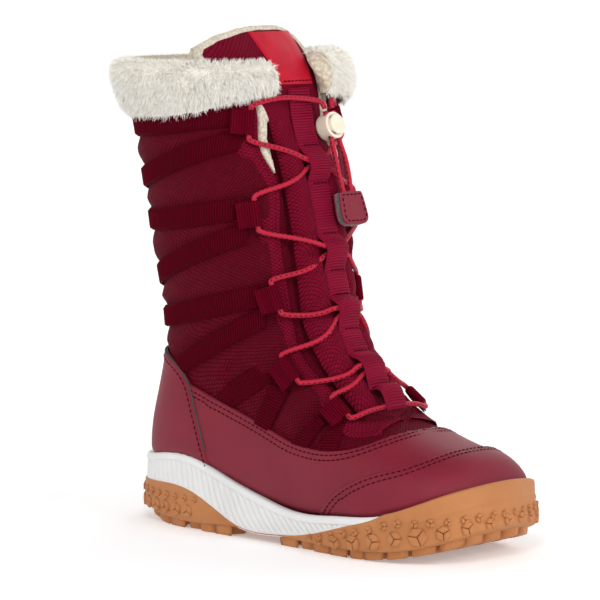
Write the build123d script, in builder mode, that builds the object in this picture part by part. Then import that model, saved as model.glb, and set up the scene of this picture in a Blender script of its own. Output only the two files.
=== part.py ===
"""Insulated cross-country winter boot for the right foot, as an assembly of its sewn and moulded pieces.

Millimetres. +X points to the toe, +Y to the inner (medial) side, +Z up. The lowest sole lugs stand on
Z = 0 and the origin is under the middle of the boot.

Every layer of the upper is cut from one body form: a loft of ribs that fan from the toe, over the
instep and up the leg. form(t) is that body grown outwards by t, a layer is the space between two such
bodies, and each piece is the part of a layer inside its own side-view outline.
"""
from build123d import *
from math import cos, hypot, pi, radians, sin, tan
import os

os.makedirs("parts", exist_ok=True)

# ---------------------------------------------------------------- driving dimensions
REACH = 150.0              # half width of every side-view cut, wider than the boot
LINING = (-6.0, -2.7)      # each layer: how far its inner and outer face lie from the body form
STIFFENER = (-2.6, -1.5)
TEXTILE = (-1.4, 0.0)
TAPE = (0.05, 0.85)
OVERLAY = (0.05, 1.3)
TOE_OVERLAY = (1.35, 2.3)
STRAP = (0.1, 1.4)
TONGUE = (-6.0, 1.5)
LABEL = (1.6, 2.1)
FUR = (-2.6, 9.0)
FUR_TOP = 240.0
FUR_GAP = 13.0             # half of the fur's gap at the front
STRAP_WIDTH = 11.0
INSOLE_BOARD_THICKNESS = 2.0
FOOTBED_THICKNESS = 4.5
CUP_DEPTH = 7.0            # how far the upper stands down inside the rim of the sole
SHAFT_TOP = 226.0
LINING_TOP = 230.5
TONGUE_HALF_WIDTH = 18.5
TONGUE_FLARE = 27.0        # half width of the tongue above the shaft
TONGUE_TOP = 252.0
BINDING_WIDTH = 2.4
WEBBING_WIDTH = 15.0
WEBBING_TOP = 220.0
WEBBING_END = 64.0
WEBBING_STEP = 2.0
WEBBING_THICKNESS = 1.2
CORD = 2.5                 # diameter of the elastic lace
LOOP_HEIGHT = 3.6          # cord centre line above the body form at the lace loops
LOOP_TAIL = 9.0
LOOP_RADIUS = 2.15         # outside of the eye that the cord runs through
LOOP_BORE = 1.4
LOOP_THICKNESS = 1.3
LOOP_SPARE = 3.0           # straight cord beyond each end of a loop, before it turns
LACE_REST = 3.6            # cord centre line above the body form between the loops
CROSS_LOW, CROSS_HIGH = 3.2, 5.9            # the same where the two runs cross, under the webbing
ARC_SHARE = 0.45
WEBBING_REST = 1.9         # inner face of the webbing above the body form, where it is stitched down
WEBBING_ARCH = 7.4         # the same over a crossing of the lace
WEBBING_END_ARCH = 5.2
PIVOT_ABOVE_LOCK = 7.5     # from the lock's centre up to the point where the cords' free ends swing
PIVOT_GAP = 1.35
LEAD_RIGHT = [(-9.0, 6.0, 215.0), (-10.0, -5.0, 216.2), (-12.8, -16.0, 216.8)]   # from the lock to the loops
LEAD_LEFT = [(-11.5, 22.0, 215.0)]
LEAD_RISE = 4.7            # straight cord above the pivot, before the lace turns to the loops
RUBBER_WALL = 3.2          # thickness of the outsole where it wraps up the midsole
LUG_PITCH = 15.5
LUG_RADIUS = 6.2
ARCH_SPAN = (-27.0, 3.0)   # no lugs under the arch
SHANK_THICKNESS = 1.2
LOCK_RADIUS = 6.7
LOCK_SPAN = (-6.4, 2.4)    # the lock's body along its axis, counted from the cords
BORE_RADIUS = 5.15
BORE_FLOOR = -5.2
BUTTON_RADIUS = 5.1
BUTTON_SPAN = (-2.6, 4.4)
BUTTON_TRAVEL = 2.0
CORD_HOLE = 1.45           # radius of the lock's cord holes
SPRING_RADIUS = 3.0
SPRING_WIRE = 0.5
SPRING_PITCH = 1.0
TAIL_SPACING = 5.6         # between the two cords that run through the lock
TAB_TOP, TAB_BOTTOM = 34.0, 50.5            # pull tab's ends, counted along the cords from the lock
TAB_WIDTHS = (16.5, 20.0)  # at the top and the bottom
TAB_CORE = 2.7             # thickness of the felt between the tab's two faces
TAB_FACE = 1.0
TAIL_END = 42.0            # where the cords end inside the tab, counted from the lock

# Ribs of the body form from the toe to the top of the leg:
# (x, z) at the front or top, (x, z) at the back or bottom, half width, side shift.
RIBS = [
    ((109, 34), (110.5, 16), 14, 6),
    ((105, 41), (107, 8), 25.5, 6),
    ((98, 47), (100, 2), 34, 5),
    ((83, 52), (83, 0), 39, 3),
    ((65, 58), (59, 0), 40.5, 1),
    ((48, 67), (29, 0), 39, 0),
    ((32, 82), (-11, 0), 36.5, 0),
    ((19, 101), (-59, 0), 34.5, 0),
    ((12, 120), (-100, 24), 35.5, 0),
    ((6, 140), (-88, 80), 40, 0),
    ((0, 162), (-88, 128), 47, 0),
    ((-7, 186), (-95, 174), 49.5, 0),
    ((-14, 208), (-102, 208), 50.5, 0),
    ((-18, 226), (-105, 228), 50.5, 0),
    ((-30, 243), (-108, 246), 48.5, 0),
    ((-44, 258), (-110, 260), 44, 0),
]
RIB_POWER = 2.25           # 2 is an ellipse, more is squarer
RIB_POINTS = 20

# Side-view lines, (x, z). RIM is the top edge of the sole, WRAP the top edge of the rubber.
RIM = [(-113, 33), (-97, 34), (-67, 37.7), (-51, 35.7), (-27, 28), (-9, 23), (9, 19), (28, 18),
       (47, 19.6), (74, 22.5), (102, 32.5), (118, 39)]
WRAP = [(-116, 21), (-89, 21.5), (-69, 22), (-55, 20), (-34, 11.5), (-22, 8.2), (0, 7.2), (27, 9.5),
        (57, 16.5), (77, 24), (100, 42)]
CORE_FLOOR = [(-116, 17), (-89, 9), (-30, 8.5), (-16, 9.5), (0, 8.5), (60, 8), (85, 10), (100, 15), (113, 24)]
PLATE_FLOOR = [(-116, 18), (-103, 9), (-94, 6), (-80, 3.8), (-45, 3.9), (-14, 5.6), (5, 4.2), (20, 3.8),
               (60, 3.8), (80, 5.6), (97, 9.2), (112, 15), (119, 19)]
SHANK_SPAN = (-58, 22)     # the shank's two ends in x
SHANK_WIDTH = 16.0
THROAT = [(-26, 232), (-19, 212), (-14.5, 192), (-8.5, 179), (-3.6, 153), (-1.3, 133.5), (2.6, 109),
          (10.5, 91), (24.5, 79), (38, 68), (47, 63), (56, 64)]
FUR_EDGE = [(-140, 205), (-60, 206), (-42, 209), (-24, 216), (-5, 222), (140, 222)]
COUNTER_EDGE = [(-90, 78), (-74, 70), (-62, 50), (-48, 20), (-44, -10)]
LUG_TIPS = [(-113, 14), (-103, 5.2), (-94, 2.2), (-81, 0), (60, 0), (80, 2), (97, 5.5), (112, 11), (116, 14)]
LABEL_CORNERS = [(-12, 222), (12, 222), (15, 250), (-15, 250)]    # seen from the front, (y, z)
MUDGUARD_EDGE = [(-57, 75.5), (-37, 68), (-19, 62), (-1, 56), (12, 52), (23.5, 50), (35, 49.4),
                 (45, 50.2), (58, 54), (66, 60)]
HEEL_SEAM = [(-69, 87), (-61, 83), (-54, 75), (-51, 65), (-48, 53.5), (-45, 42), (-40, 28), (-37, 15)]
TOE_CAP_EDGE = [(29, 8), (33, 19), (41, 27), (49, 33), (59, 38), (67, 41), (79, 44), (88, 48), (94, 54)]
VAMP_SEAM = [(36, 72), (30, 52), (20, 0)]

# Half of the sole's outline at its widest, (x, y): the outer side, then the inner side.
SOLE_OUTER = [(-107, -12), (-99, -21.5), (-85, -28.5), (-65, -33.5), (-37, -36), (-3, -37.5), (36, -41.5),
              (62, -43), (85, -40), (100, -33), (110, -20)]
SOLE_INNER = [(110.5, 28), (101, 43), (85, 46.5), (62, 45), (36, 41), (-3, 37), (-37, 35.5), (-65, 33.5),
              (-85, 28.5), (-99, 21.5), (-107, 12)]
SOLE_BACK, SOLE_FRONT = (-110.5, 0), (115.5, 3)

# Straps that run round the back of the leg: lower edge from the back to the front, (x, z), and how much
# higher the upper edge lies.
WRAP_STRAPS = {
    "strap_top_upper": [(-125, 193), (-74, 197), (-23, 203)],
    "strap_top_lower": [(-125, 164), (-80, 171), (-43, 183.5), (-20, 191.5)],
    "strap_middle_upper": [(-125, 149), (-73, 150), (-19, 157.4)],
    "strap_middle_lower": [(-125, 103), (-71, 124), (-14, 146)],
    "strap_ankle_upper": [(-125, 96), (-68, 102), (-11, 115)],
    "strap_ankle_lower": [(-56, 80), (-54, 81), (-9, 105)],
}
# Short straps of the instep, as side-view corners, (x, z), one on each side of the boot.
SHORT_STRAPS = {
    "instep_strap_back": [(-37, 71.5), (-10, 89), (-3, 79), (-25, 65)],
    "instep_strap_front": [(-4, 78), (7, 75), (-1, 56.3), (-12, 60)],
    "vamp_strap_back": [(26, 66), (32, 62), (25, 50.2), (14, 52)],
    "vamp_strap_front": [(34.5, 62), (42, 62), (42.5, 50.5), (32, 50)],
}
# The cord's tunnel in each lace loop of the outer side, (x, distance from the middle, z), top and bottom.
LOOPS = [
    ((-17.5, 30.9, 210.7), (-15.9, 33.9, 198.8)),
    ((-9.9, 36.6, 167.5), (-7.9, 36.2, 155.0)),
    ((-3.3, 31.3, 126.4), (0.3, 29.4, 114.6)),
    ((4.0, 31.3, 91.2), (13.5, 31.7, 81.7)),
    ((33.8, 27.6, 73.2), (43.1, 28.1, 66.6)),
]
CROSSINGS = [183.5, 140.0, 110.5, 82.8]     # height where the two runs of the lace cross, under the webbing
BAR_CROSSING = 67.6                         # height of the single bottom run
WEBBING_BARS = [(193.0, 174.0), (149.0, 131.0), (119.0, 102.0), (91.5, 74.5)]   # stitched down on both sides
LOCK_TILT = 17.0                            # the cords' lean from vertical, in degrees
LOCK_CENTRE = Vector(-4.6, 14.3, 202.0)


# ---------------------------------------------------------------- the body form
def signed_power(value, power):
    return abs(value) ** power if value >= 0 else -(abs(value) ** power)


def rib_plane(rib, shift):
    """Plane of a rib: local X runs from its back to its front, local Y across the boot."""
    (front_x, front_z), (back_x, back_z), _, side = rib
    centre = Vector((front_x + back_x) / 2, side, (front_z + back_z) / 2)
    along = Vector(front_x - back_x, 0, front_z - back_z).normalized()
    normal = along.cross(Vector(0, 1, 0))
    return Plane(origin=centre - normal * shift, x_dir=along, z_dir=normal)


def rib_outline(rib, grow):
    """Points of a rib's rounded outline, grown outwards."""
    (front_x, front_z), (back_x, back_z), half_width, _ = rib
    half_length = hypot(front_x - back_x, front_z - back_z) / 2 + grow
    angles = [2 * pi * i / RIB_POINTS for i in range(RIB_POINTS)]
    return [(half_length * signed_power(cos(a), 2 / RIB_POWER),
             (half_width + grow) * signed_power(sin(a), 2 / RIB_POWER)) for a in angles]


def closed_curve(points, parameters):
    """Closed spline with given parameters at its points, so that a loft's sections all match."""
    add(Edge.make_spline([Vector(*point) for point in points], periodic=True, parameters=parameters))


def form(grow):
    """The body form, grown outwards; its blunt toe end moves forward with it."""
    parameters = [i / RIB_POINTS for i in range(RIB_POINTS + 1)]
    with BuildPart() as body:
        for index, rib in enumerate(RIBS):
            shift = grow if index == 0 else 0
            with BuildSketch(rib_plane(rib, shift)):
                with BuildLine():
                    closed_curve(rib_outline(rib, grow), parameters)
                make_face()
        loft()
    return body.part


def layer(faces):
    """The shell between two grown bodies."""
    inner, outer = faces
    with BuildPart() as shell:
        add(form(outer))
        add(form(inner), mode=Mode.SUBTRACT)
    return shell.part


def raised(line, height):
    return [(x, z + height) for x, z in line]


def side_sketch(edge, corners, smooth=True):
    """Side-view outline: an edge through points, closed by straight corners."""
    with BuildSketch(Plane.XZ) as outline:
        with BuildLine():
            if smooth:
                Spline(*edge)
            else:
                Polyline(*edge)
            Polyline(edge[-1], *corners, edge[0])
        make_face()
    return outline.sketch


def cut_to(sketch, mode=Mode.INTERSECT):
    """Keep (or remove) what lies inside a side-view outline, across the whole boot."""
    extrude(sketch, amount=REACH, both=True, mode=mode)


ABOVE = [(140, 300), (-140, 300)]
ABOVE_SOLE_FLOOR = side_sketch(raised(RIM, -CUP_DEPTH), [(118, 300), (-113, 300)])
SHAFT_REGION = side_sketch(THROAT, [(56, -10), (-140, -10), (-140, 232)])
THROAT_OPENING = side_sketch(THROAT, [(56, 240)])
TAPE_REGION = side_sketch(THROAT, [(x - 4, z - 3.5) for x, z in reversed(THROAT)], smooth=False)
UNDER_FUR = side_sketch(FUR_EDGE, [(140, 241), (-140, 241)], smooth=False)
BEHIND_VAMP = side_sketch(VAMP_SEAM, [(-140, 0), (-140, 260), (36, 260)], smooth=False)
BELOW_SHAFT_TOP = side_sketch([(-140, SHAFT_TOP), (140, SHAFT_TOP)], [(140, -10), (-140, -10)], smooth=False)
MUDGUARD_REGION = side_sketch(MUDGUARD_EDGE, [(66, 90), (140, 90), (140, -10), (-57, -10)])
HEEL_REGION = side_sketch(HEEL_SEAM, [(-37, -10), (-140, -10), (-140, 91), (-95, 91)])
TOE_REGION = side_sketch(TOE_CAP_EDGE, [(140, 54), (140, 0), (29, 0)])


# ---------------------------------------------------------------- sole
def sole_outline(inset):
    """The sole's outline in plan, moved inwards by an inset along its own normal."""
    points = [SOLE_BACK, *SOLE_OUTER, SOLE_FRONT, *SOLE_INNER]
    moved = []
    for index, (x, y) in enumerate(points):
        before = points[index - 1]
        after = points[(index + 1) % len(points)]
        run = Vector(after[0] - before[0], after[1] - before[1]).normalized()
        moved.append((x - run.Y * inset, y + run.X * inset))
    return moved


def chord_parameters(points):
    """The share of a closed outline's length up to each point, and 1 where it closes."""
    lengths = [0]
    for index, (x, y) in enumerate(points):
        next_x, next_y = points[(index + 1) % len(points)]
        lengths.append(lengths[-1] + hypot(next_x - x, next_y - y))
    return [length / lengths[-1] for length in lengths]


SOLE_PARAMETERS = chord_parameters(sole_outline(0))

with BuildPart() as upper_room:
    add(form(OVERLAY[1] + 0.1))
    cut_to(ABOVE_SOLE_FLOOR)

with BuildPart() as sole_block:
    for height, inset in [(0, 5), (5, 1.5), (14, 0), (26, 0.5), (42, 1.5)]:
        with BuildSketch(Plane.XY.offset(height)):
            with BuildLine():
                closed_curve(sole_outline(inset), SOLE_PARAMETERS)
            make_face()
    loft()
    cut_to(side_sketch(PLATE_FLOOR, [(119, 60), (-116, 60)]))
    cut_to(side_sketch(RIM, [(118, -10), (-113, -10)]))
    add(upper_room.part, mode=Mode.SUBTRACT)

# What the midsole may fill: the core inside the rubber's wall, and everything above the rubber's edge.
with BuildPart() as midsole_room:
    with BuildSketch(Plane.XY.offset(5)):
        with BuildLine():
            closed_curve(sole_outline(RUBBER_WALL), SOLE_PARAMETERS)
        make_face()
    extrude(amount=60)
    cut_to(side_sketch(CORE_FLOOR, [(113, 60), (-116, 60)]))
    extrude(side_sketch(WRAP, [(100, 70), (-116, 70)]), amount=REACH, both=True)


def shank_sketch(top, bottom):
    """Side view of the shank's plate, which follows the slope of the sole's floor."""
    line = [(x, z - CUP_DEPTH) for x, z in RIM if SHANK_SPAN[0] <= x <= SHANK_SPAN[1]]
    with BuildSketch(Plane.XZ) as plate:
        with BuildLine():
            Polyline(*raised(line, top), *reversed(raised(line, bottom)), close=True)
        make_face()
    return plate.sketch


with BuildPart() as shank:
    extrude(shank_sketch(-0.6, -0.6 - SHANK_THICKNESS), amount=SHANK_WIDTH / 2, both=True)

with BuildPart() as midsole:
    add(sole_block.part)
    add(midsole_room.part, mode=Mode.INTERSECT)
    extrude(shank_sketch(3, -0.6 - SHANK_THICKNESS), amount=SHANK_WIDTH / 2, both=True, mode=Mode.SUBTRACT)

with BuildPart() as outsole:
    with BuildSketch(Plane.XY):
        with HexLocations(LUG_PITCH / 2, 19, 8, major_radius=True):
            RegularPolygon(LUG_RADIUS, 6)
        with BuildLine():
            closed_curve(sole_outline(RUBBER_WALL), SOLE_PARAMETERS)
        make_face(mode=Mode.INTERSECT)
        with Locations(((ARCH_SPAN[0] + ARCH_SPAN[1]) / 2, 0)):
            Rectangle(ARCH_SPAN[1] - ARCH_SPAN[0], REACH, mode=Mode.SUBTRACT)
    extrude(amount=30)
    cut_to(side_sketch(LUG_TIPS, [(116, 40), (-113, 40)], smooth=False))
    cut_to(side_sketch(raised(PLATE_FLOOR, 1), [(119, -10), (-116, -10)]))
    add(sole_block.part)
    add(midsole_room.part, mode=Mode.SUBTRACT)

with BuildPart() as insole_board:
    add(form(LINING[1]))
    cut_to(side_sketch(raised(RIM, -CUP_DEPTH + 0.05), [(118, 300), (-113, 300)]))
    cut_to(side_sketch(raised(RIM, -CUP_DEPTH + INSOLE_BOARD_THICKNESS), [(118, -20), (-113, -20)]))

with BuildPart() as footbed:
    add(form(LINING[0] - 0.1))
    footbed_floor = -CUP_DEPTH + INSOLE_BOARD_THICKNESS + 0.1
    cut_to(side_sketch(raised(RIM, footbed_floor), [(118, 300), (-113, 300)]))
    cut_to(side_sketch(raised(RIM, footbed_floor + FOOTBED_THICKNESS), [(118, -20), (-113, -20)]))

# ---------------------------------------------------------------- upper, from the inside out
textile = layer(TEXTILE)
stiffener = layer(STIFFENER)
overlay = layer(OVERLAY)

TONGUE_SIDE = side_sketch([(50, 61), (50, 300)], [(-62, 300), (-50, 200), (-42, 100), (10, 70), (30, 61)],
                          smooth=False)


def tongue_room(clearance):
    """Front of the leg inside the tongue's outline: straight up the throat, then flared and rounded."""
    narrow = TONGUE_HALF_WIDTH + clearance
    wide = TONGUE_FLARE + clearance
    top = TONGUE_TOP + clearance
    with BuildPart() as room:
        with BuildSketch(Plane.YZ):
            with BuildLine():
                Polyline((-narrow, 205), (-narrow, 40), (narrow, 40), (narrow, 205))
                Spline((narrow, 205), (wide - 1, 229), (wide, 240), (wide - 7, top - 2.5), (0, top),
                       (7 - wide, top - 2.5), (-wide, 240), (1 - wide, 229), (-narrow, 205))
            make_face()
        extrude(amount=REACH, both=True)
        cut_to(TONGUE_SIDE)
    return room.part


with BuildPart() as tongue:
    add(layer(TONGUE))
    add(tongue_room(0), mode=Mode.INTERSECT)

with BuildPart() as tongue_binding:
    add(layer(TONGUE))
    add(tongue_room(BINDING_WIDTH), mode=Mode.INTERSECT)
    add(tongue_room(0.05), mode=Mode.SUBTRACT)
    cut_to(side_sketch([(-140, 231), (140, 231)], ABOVE, smooth=False))

with BuildPart() as tongue_label:
    add(layer(LABEL))
    with BuildSketch(Plane.YZ):
        with BuildLine():
            Polyline(*LABEL_CORNERS, close=True)
        make_face()
    extrude(amount=60, both=True, mode=Mode.INTERSECT)
    cut_to(side_sketch([(-62, 300), (-56, 200)], [(20, 200), (20, 300)], smooth=False))

with BuildPart() as lining:
    add(layer(LINING))
    cut_to(side_sketch(raised(RIM, footbed_floor), [(118, LINING_TOP), (-113, LINING_TOP)]))
    add(tongue_room(0.5), mode=Mode.SUBTRACT)

with BuildPart() as heel_counter:
    add(stiffener)
    cut_to(ABOVE_SOLE_FLOOR)
    cut_to(side_sketch(COUNTER_EDGE, [(-140, -10), (-140, 78)]))

with BuildPart() as toe_puff:
    add(stiffener)
    cut_to(ABOVE_SOLE_FLOOR)
    cut_to(side_sketch(raised(TOE_CAP_EDGE, 2), [(140, 56), (140, 0), (29, 0)]))

with BuildPart() as vamp:
    add(textile)
    cut_to(ABOVE_SOLE_FLOOR)
    cut_to(BEHIND_VAMP, mode=Mode.SUBTRACT)
    cut_to(THROAT_OPENING, mode=Mode.SUBTRACT)
    add(tongue_room(0.3), mode=Mode.SUBTRACT)


def on_side(side):
    """Keep one half of the boot: side -1 is the outer (right) half, +1 the inner."""
    with Locations((0, side * (REACH / 2 + 0.05), REACH)):
        Box(4 * REACH, REACH, 4 * REACH, mode=Mode.INTERSECT)


def finish(builder, name):
    """Label a finished piece and write it out."""
    builder.part.label = name
    export_step(builder.part, "parts/" + name + ".step")


strap_layer = layer(STRAP)
tape_layer = layer(TAPE)
skin = form(LOOP_HEIGHT).faces().sort_by(SortBy.AREA)[-1]


def skin_hit(start, direction, height=LOOP_HEIGHT):
    """Where a ray from inside the boot leaves the body form grown by a height, and the normal there."""
    hits = skin.find_intersection_points(Axis(start, direction))
    ahead = [hit for hit in hits if (hit[0] - Vector(*start)).dot(Vector(*direction)) > 0]
    point, normal = ahead[0]
    if normal.dot(Vector(*direction)) < 0:
        normal = normal * -1
    return point + normal * (height - LOOP_HEIGHT), normal


def loop_ends(index, side):
    """Top and bottom of the cord's tunnel in a lace loop."""
    return [Vector(x, side * y, z) for x, y, z in LOOPS[index]]


for side, word in [(-1, "right"), (1, "left")]:
    with BuildPart() as quarter:
        add(textile)
        cut_to(ABOVE_SOLE_FLOOR)
        cut_to(BEHIND_VAMP)
        cut_to(SHAFT_REGION)
        cut_to(BELOW_SHAFT_TOP)
        on_side(side)
        add(tongue_room(0.3), mode=Mode.SUBTRACT)
    finish(quarter, "quarter_" + word)

    with BuildPart() as gusset:
        add(stiffener)
        gusset_edge = [(x - 9, z - 5) for x, z in THROAT if z < 185]
        cut_to(side_sketch(gusset_edge, [(60, 60), (60, 174)]))
        on_side(side)
        add(tongue_room(0.2), mode=Mode.SUBTRACT)
    finish(gusset, "gusset_" + word)

    with BuildPart() as facing_tape:
        add(tape_layer)
        cut_to(TAPE_REGION)
        cut_to(UNDER_FUR, mode=Mode.SUBTRACT)
        on_side(side)
    finish(facing_tape, "facing_tape_" + word)

    for name, corners in SHORT_STRAPS.items():
        with BuildPart() as strap:
            add(strap_layer)
            cut_to(side_sketch(corners[:2], corners[2:], smooth=False))
            cut_to(MUDGUARD_REGION, mode=Mode.SUBTRACT)
            cut_to(TAPE_REGION, mode=Mode.SUBTRACT)
            on_side(side)
        finish(strap, name + "_" + word)

    for index in range(len(LOOPS)):
        top, bottom = loop_ends(index, side)
        along = (top - bottom).normalized()
        middle = (top + bottom) * 0.5
        _, normal = skin_hit((middle.X, 0, middle.Z), (0, side, 0))
        outward = (normal - along * normal.dot(along)).normalized()
        backward = along.cross(outward)
        if backward.X > 0:
            backward = backward * -1
        tunnel_plane = Plane(origin=bottom, x_dir=backward, z_dir=along)
        tail_side = -1 if tunnel_plane.y_dir.dot(outward) > 0 else 1
        with BuildPart() as loop:
            with BuildSketch(tunnel_plane):
                Circle(LOOP_RADIUS)
                with Locations((LOOP_TAIL / 2, tail_side * (LOOP_RADIUS - LOOP_THICKNESS / 2))):
                    Rectangle(LOOP_TAIL, LOOP_THICKNESS)
                Circle(LOOP_BORE, mode=Mode.SUBTRACT)
            extrude(amount=(top - bottom).length)
        finish(loop, "lace_loop_" + word + "_" + str(index + 1))

for name, lower in WRAP_STRAPS.items():
    with BuildPart() as strap:
        add(strap_layer)
        upper = raised(lower, STRAP_WIDTH)
        cut_to(side_sketch(lower, list(reversed(upper)), smooth=False))
        for other in (UNDER_FUR, HEEL_REGION, TAPE_REGION):
            cut_to(other, mode=Mode.SUBTRACT)
    finish(strap, name)

# ---------------------------------------------------------------- overlays and fur
with BuildPart() as heel_panel:
    add(overlay)
    cut_to(ABOVE_SOLE_FLOOR)
    cut_to(HEEL_REGION)

with BuildPart() as mudguard:
    add(overlay)
    cut_to(ABOVE_SOLE_FLOOR)
    cut_to(MUDGUARD_REGION)
    cut_to(HEEL_REGION, mode=Mode.SUBTRACT)

with BuildPart() as toe_cap:
    add(layer(TOE_OVERLAY))
    cut_to(side_sketch(raised(RIM, 0.3), [(118, 300), (-113, 300)]))
    cut_to(TOE_REGION)

with BuildPart() as fur_inside:
    add(form(TEXTILE[1] + 0.15))
    cut_to(side_sketch([(-140, SHAFT_TOP + 0.2), (140, SHAFT_TOP + 0.2)], [(140, -10), (-140, -10)], smooth=False))

with BuildPart() as fur_front:
    add(form(LABEL[1] + 0.4))
    add(tongue_room(BINDING_WIDTH + 0.4), mode=Mode.INTERSECT)

with BuildPart() as fur_cuff:
    add(layer(FUR))
    cut_to(side_sketch(raised(FUR_EDGE, 0.3), [(140, FUR_TOP), (-140, FUR_TOP)], smooth=False))
    add(fur_inside.part, mode=Mode.SUBTRACT)
    add(fur_front.part, mode=Mode.SUBTRACT)
    with Locations((-60, 0, FUR_TOP)):
        Box(2 * REACH, 2 * FUR_GAP, 100, align=(Align.MIN, Align.CENTER, Align.CENTER), mode=Mode.SUBTRACT)


# ---------------------------------------------------------------- webbing down the tongue
def front_hit(height, z, y=0):
    """Point on the front of the boot at a height above the body form."""
    return skin_hit((-20, y, z), (1, 0, 0), height)[0]


def webbing_height(z):
    """Height of the webbing's inner face above the body form: flat at its bars, arched over the lace."""
    for crossing, (bar_above, bar_below) in zip(CROSSINGS, WEBBING_BARS):
        if bar_below < z < bar_above:
            bar = bar_above if z > crossing else bar_below
            share = (z - bar) / (crossing - bar)
            return WEBBING_REST + (WEBBING_ARCH - WEBBING_REST) * sin(share * pi / 2) ** 1.5
    if z < WEBBING_BARS[-1][1]:
        share = min((WEBBING_BARS[-1][1] - z) / (WEBBING_BARS[-1][1] - BAR_CROSSING), 1)
        return WEBBING_REST + (WEBBING_END_ARCH - WEBBING_REST) * sin(share * pi / 2)
    return WEBBING_REST


def webbing_points(lift):
    steps = round((WEBBING_TOP - WEBBING_END) / WEBBING_STEP)
    heights = [WEBBING_TOP - step * WEBBING_STEP for step in range(steps + 1)]
    points = [front_hit(webbing_height(z) + lift, z) for z in heights]
    return [(point.X, point.Z) for point in points]


with BuildPart() as tongue_webbing:
    with BuildSketch(Plane.XZ):
        with BuildLine():
            outer = Spline(*webbing_points(WEBBING_THICKNESS))
            inner = Spline(*webbing_points(0))
            Line(outer @ 0, inner @ 0)
            Line(outer @ 1, inner @ 1)
        make_face()
    extrude(amount=WEBBING_WIDTH / 2, both=True)

# ---------------------------------------------------------------- lace
tilt = radians(LOCK_TILT)
CORD_DOWN = Vector(sin(tilt), 0, -cos(tilt))       # along the cords, from the lock to the tab
BUTTON_OUT = Vector(cos(tilt), 0, sin(tilt))       # the way the lock's button points
SWING_PIVOT = LOCK_CENTRE - CORD_DOWN * PIVOT_ABOVE_LOCK


def tail_start(side):
    return SWING_PIVOT + Vector(0, side * TAIL_SPACING / 2, 0)


def crossing_run(index, side):
    """Lace from a loop's lower end, under the webbing, to the next loop's upper end on the other side."""
    start = loop_ends(index, side)[1]
    end = loop_ends(index + 1, -side)[0]
    middle = CROSSINGS[index]
    height = CROSS_LOW if side > 0 else CROSS_HIGH
    return [
        front_hit(LACE_REST, middle + 0.5 * (start.Z - middle), side * 16),
        front_hit(height, middle + 1.6, side * 7),
        front_hit(height, middle - 1.6, -side * 7),
        front_hit(LACE_REST, middle + 0.5 * (end.Z - middle), -side * 16),
    ]


def loop_run(index, side):
    """Straight run through a loop, a little longer than the loop at each end."""
    top, bottom = loop_ends(index, side)
    spare = (top - bottom).normalized() * LOOP_SPARE
    return [top + spare, bottom - spare]


def strand(side):
    """One half of the lace, from its upper loop down to its bottom loop."""
    points = []
    for index in range(len(LOOPS)):
        points += loop_run(index, side)
        if index + 1 < len(LOOPS):
            points += crossing_run(index, side)
        side = -side
    return points


def arc_radius(before, corner, after):
    """Radius that uses ARC_SHARE of the shorter run beside a corner."""
    run_in = corner - before
    run_out = after - corner
    turn = radians(run_in.get_angle(run_out))
    share = min(ARC_SHARE * min(run_in.length, run_out.length), LOOP_SPARE)
    return min(share / tan(turn / 2), 80)


right_half = strand(-1)
left_half = strand(1)
bar = [front_hit(LACE_REST, BAR_CROSSING - 0.4, -15), front_hit(LACE_REST, BAR_CROSSING - 0.4, 15)]
route = [tail_start(-1) - CORD_DOWN * PIVOT_GAP, tail_start(-1) - CORD_DOWN * LEAD_RISE,
         *[Vector(*point) for point in LEAD_RIGHT], *right_half, *bar, *reversed(left_half),
         *[Vector(*point) for point in LEAD_LEFT],
         tail_start(1) - CORD_DOWN * LEAD_RISE, tail_start(1) - CORD_DOWN * PIVOT_GAP]
radii = [arc_radius(*route[i - 1:i + 2]) for i in range(1, len(route) - 1)]
print("lace arcs: smallest", round(min(radii), 1), "largest", round(max(radii), 1))

with BuildPart() as lace:
    with BuildLine():
        lace_path = FilletPolyline(*route, radius=radii)
    with BuildSketch(Plane(origin=lace_path @ 0, z_dir=lace_path % 0)):
        Circle(CORD / 2)
    sweep(path=lace_path)
print("lace: length", round(lace_path.length, 1), "volume", round(lace.part.volume, 1),
      "section x length", round(pi * CORD ** 2 / 4 * lace_path.length, 1))

with BuildPart() as lace_tails:
    for side in (-1, 1):
        start = tail_start(side)
        length = TAIL_END + PIVOT_ABOVE_LOCK
        with BuildSketch(Plane(origin=start, x_dir=(0, 1, 0), z_dir=CORD_DOWN)):
            Circle(CORD / 2)
        extrude(amount=length)
        with Locations(start):
            Sphere(CORD / 2)
print("tails: length", round(length, 1))

# ---------------------------------------------------------------- pull tab
cord_plane = Plane(origin=LOCK_CENTRE, x_dir=(0, 1, 0), z_dir=BUTTON_OUT)    # local Y points up the cords


def tab_layer(start, thickness):
    """One layer of the pull tab, from a distance in front of the cords' centre lines."""
    top_half, bottom_half = [width / 2 for width in TAB_WIDTHS]
    with BuildPart() as slab:
        with BuildSketch(cord_plane.offset(start)) as face:
            with BuildLine():
                Polyline((-top_half, -TAB_TOP), (top_half, -TAB_TOP), (bottom_half, -TAB_BOTTOM),
                         (-bottom_half, -TAB_BOTTOM), close=True)
            make_face()
            fillet(face.vertices().group_by(Axis.Y)[0], radius=6)
            fillet(face.vertices().group_by(Axis.Y)[-1], radius=1.5)
        extrude(amount=thickness)
    return slab.part


with BuildPart() as pull_tab_core:
    add(tab_layer(-TAB_CORE / 2, TAB_CORE))
    for side in (-1, 1):
        start = tail_start(side)
        with BuildSketch(Plane(origin=start, x_dir=(0, 1, 0), z_dir=CORD_DOWN)):
            Circle(CORD / 2 + 0.03)
        extrude(amount=TAIL_END + PIVOT_ABOVE_LOCK, mode=Mode.SUBTRACT)

with BuildPart() as pull_tab_front:
    add(tab_layer(TAB_CORE / 2 + 0.02, TAB_FACE))

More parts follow.
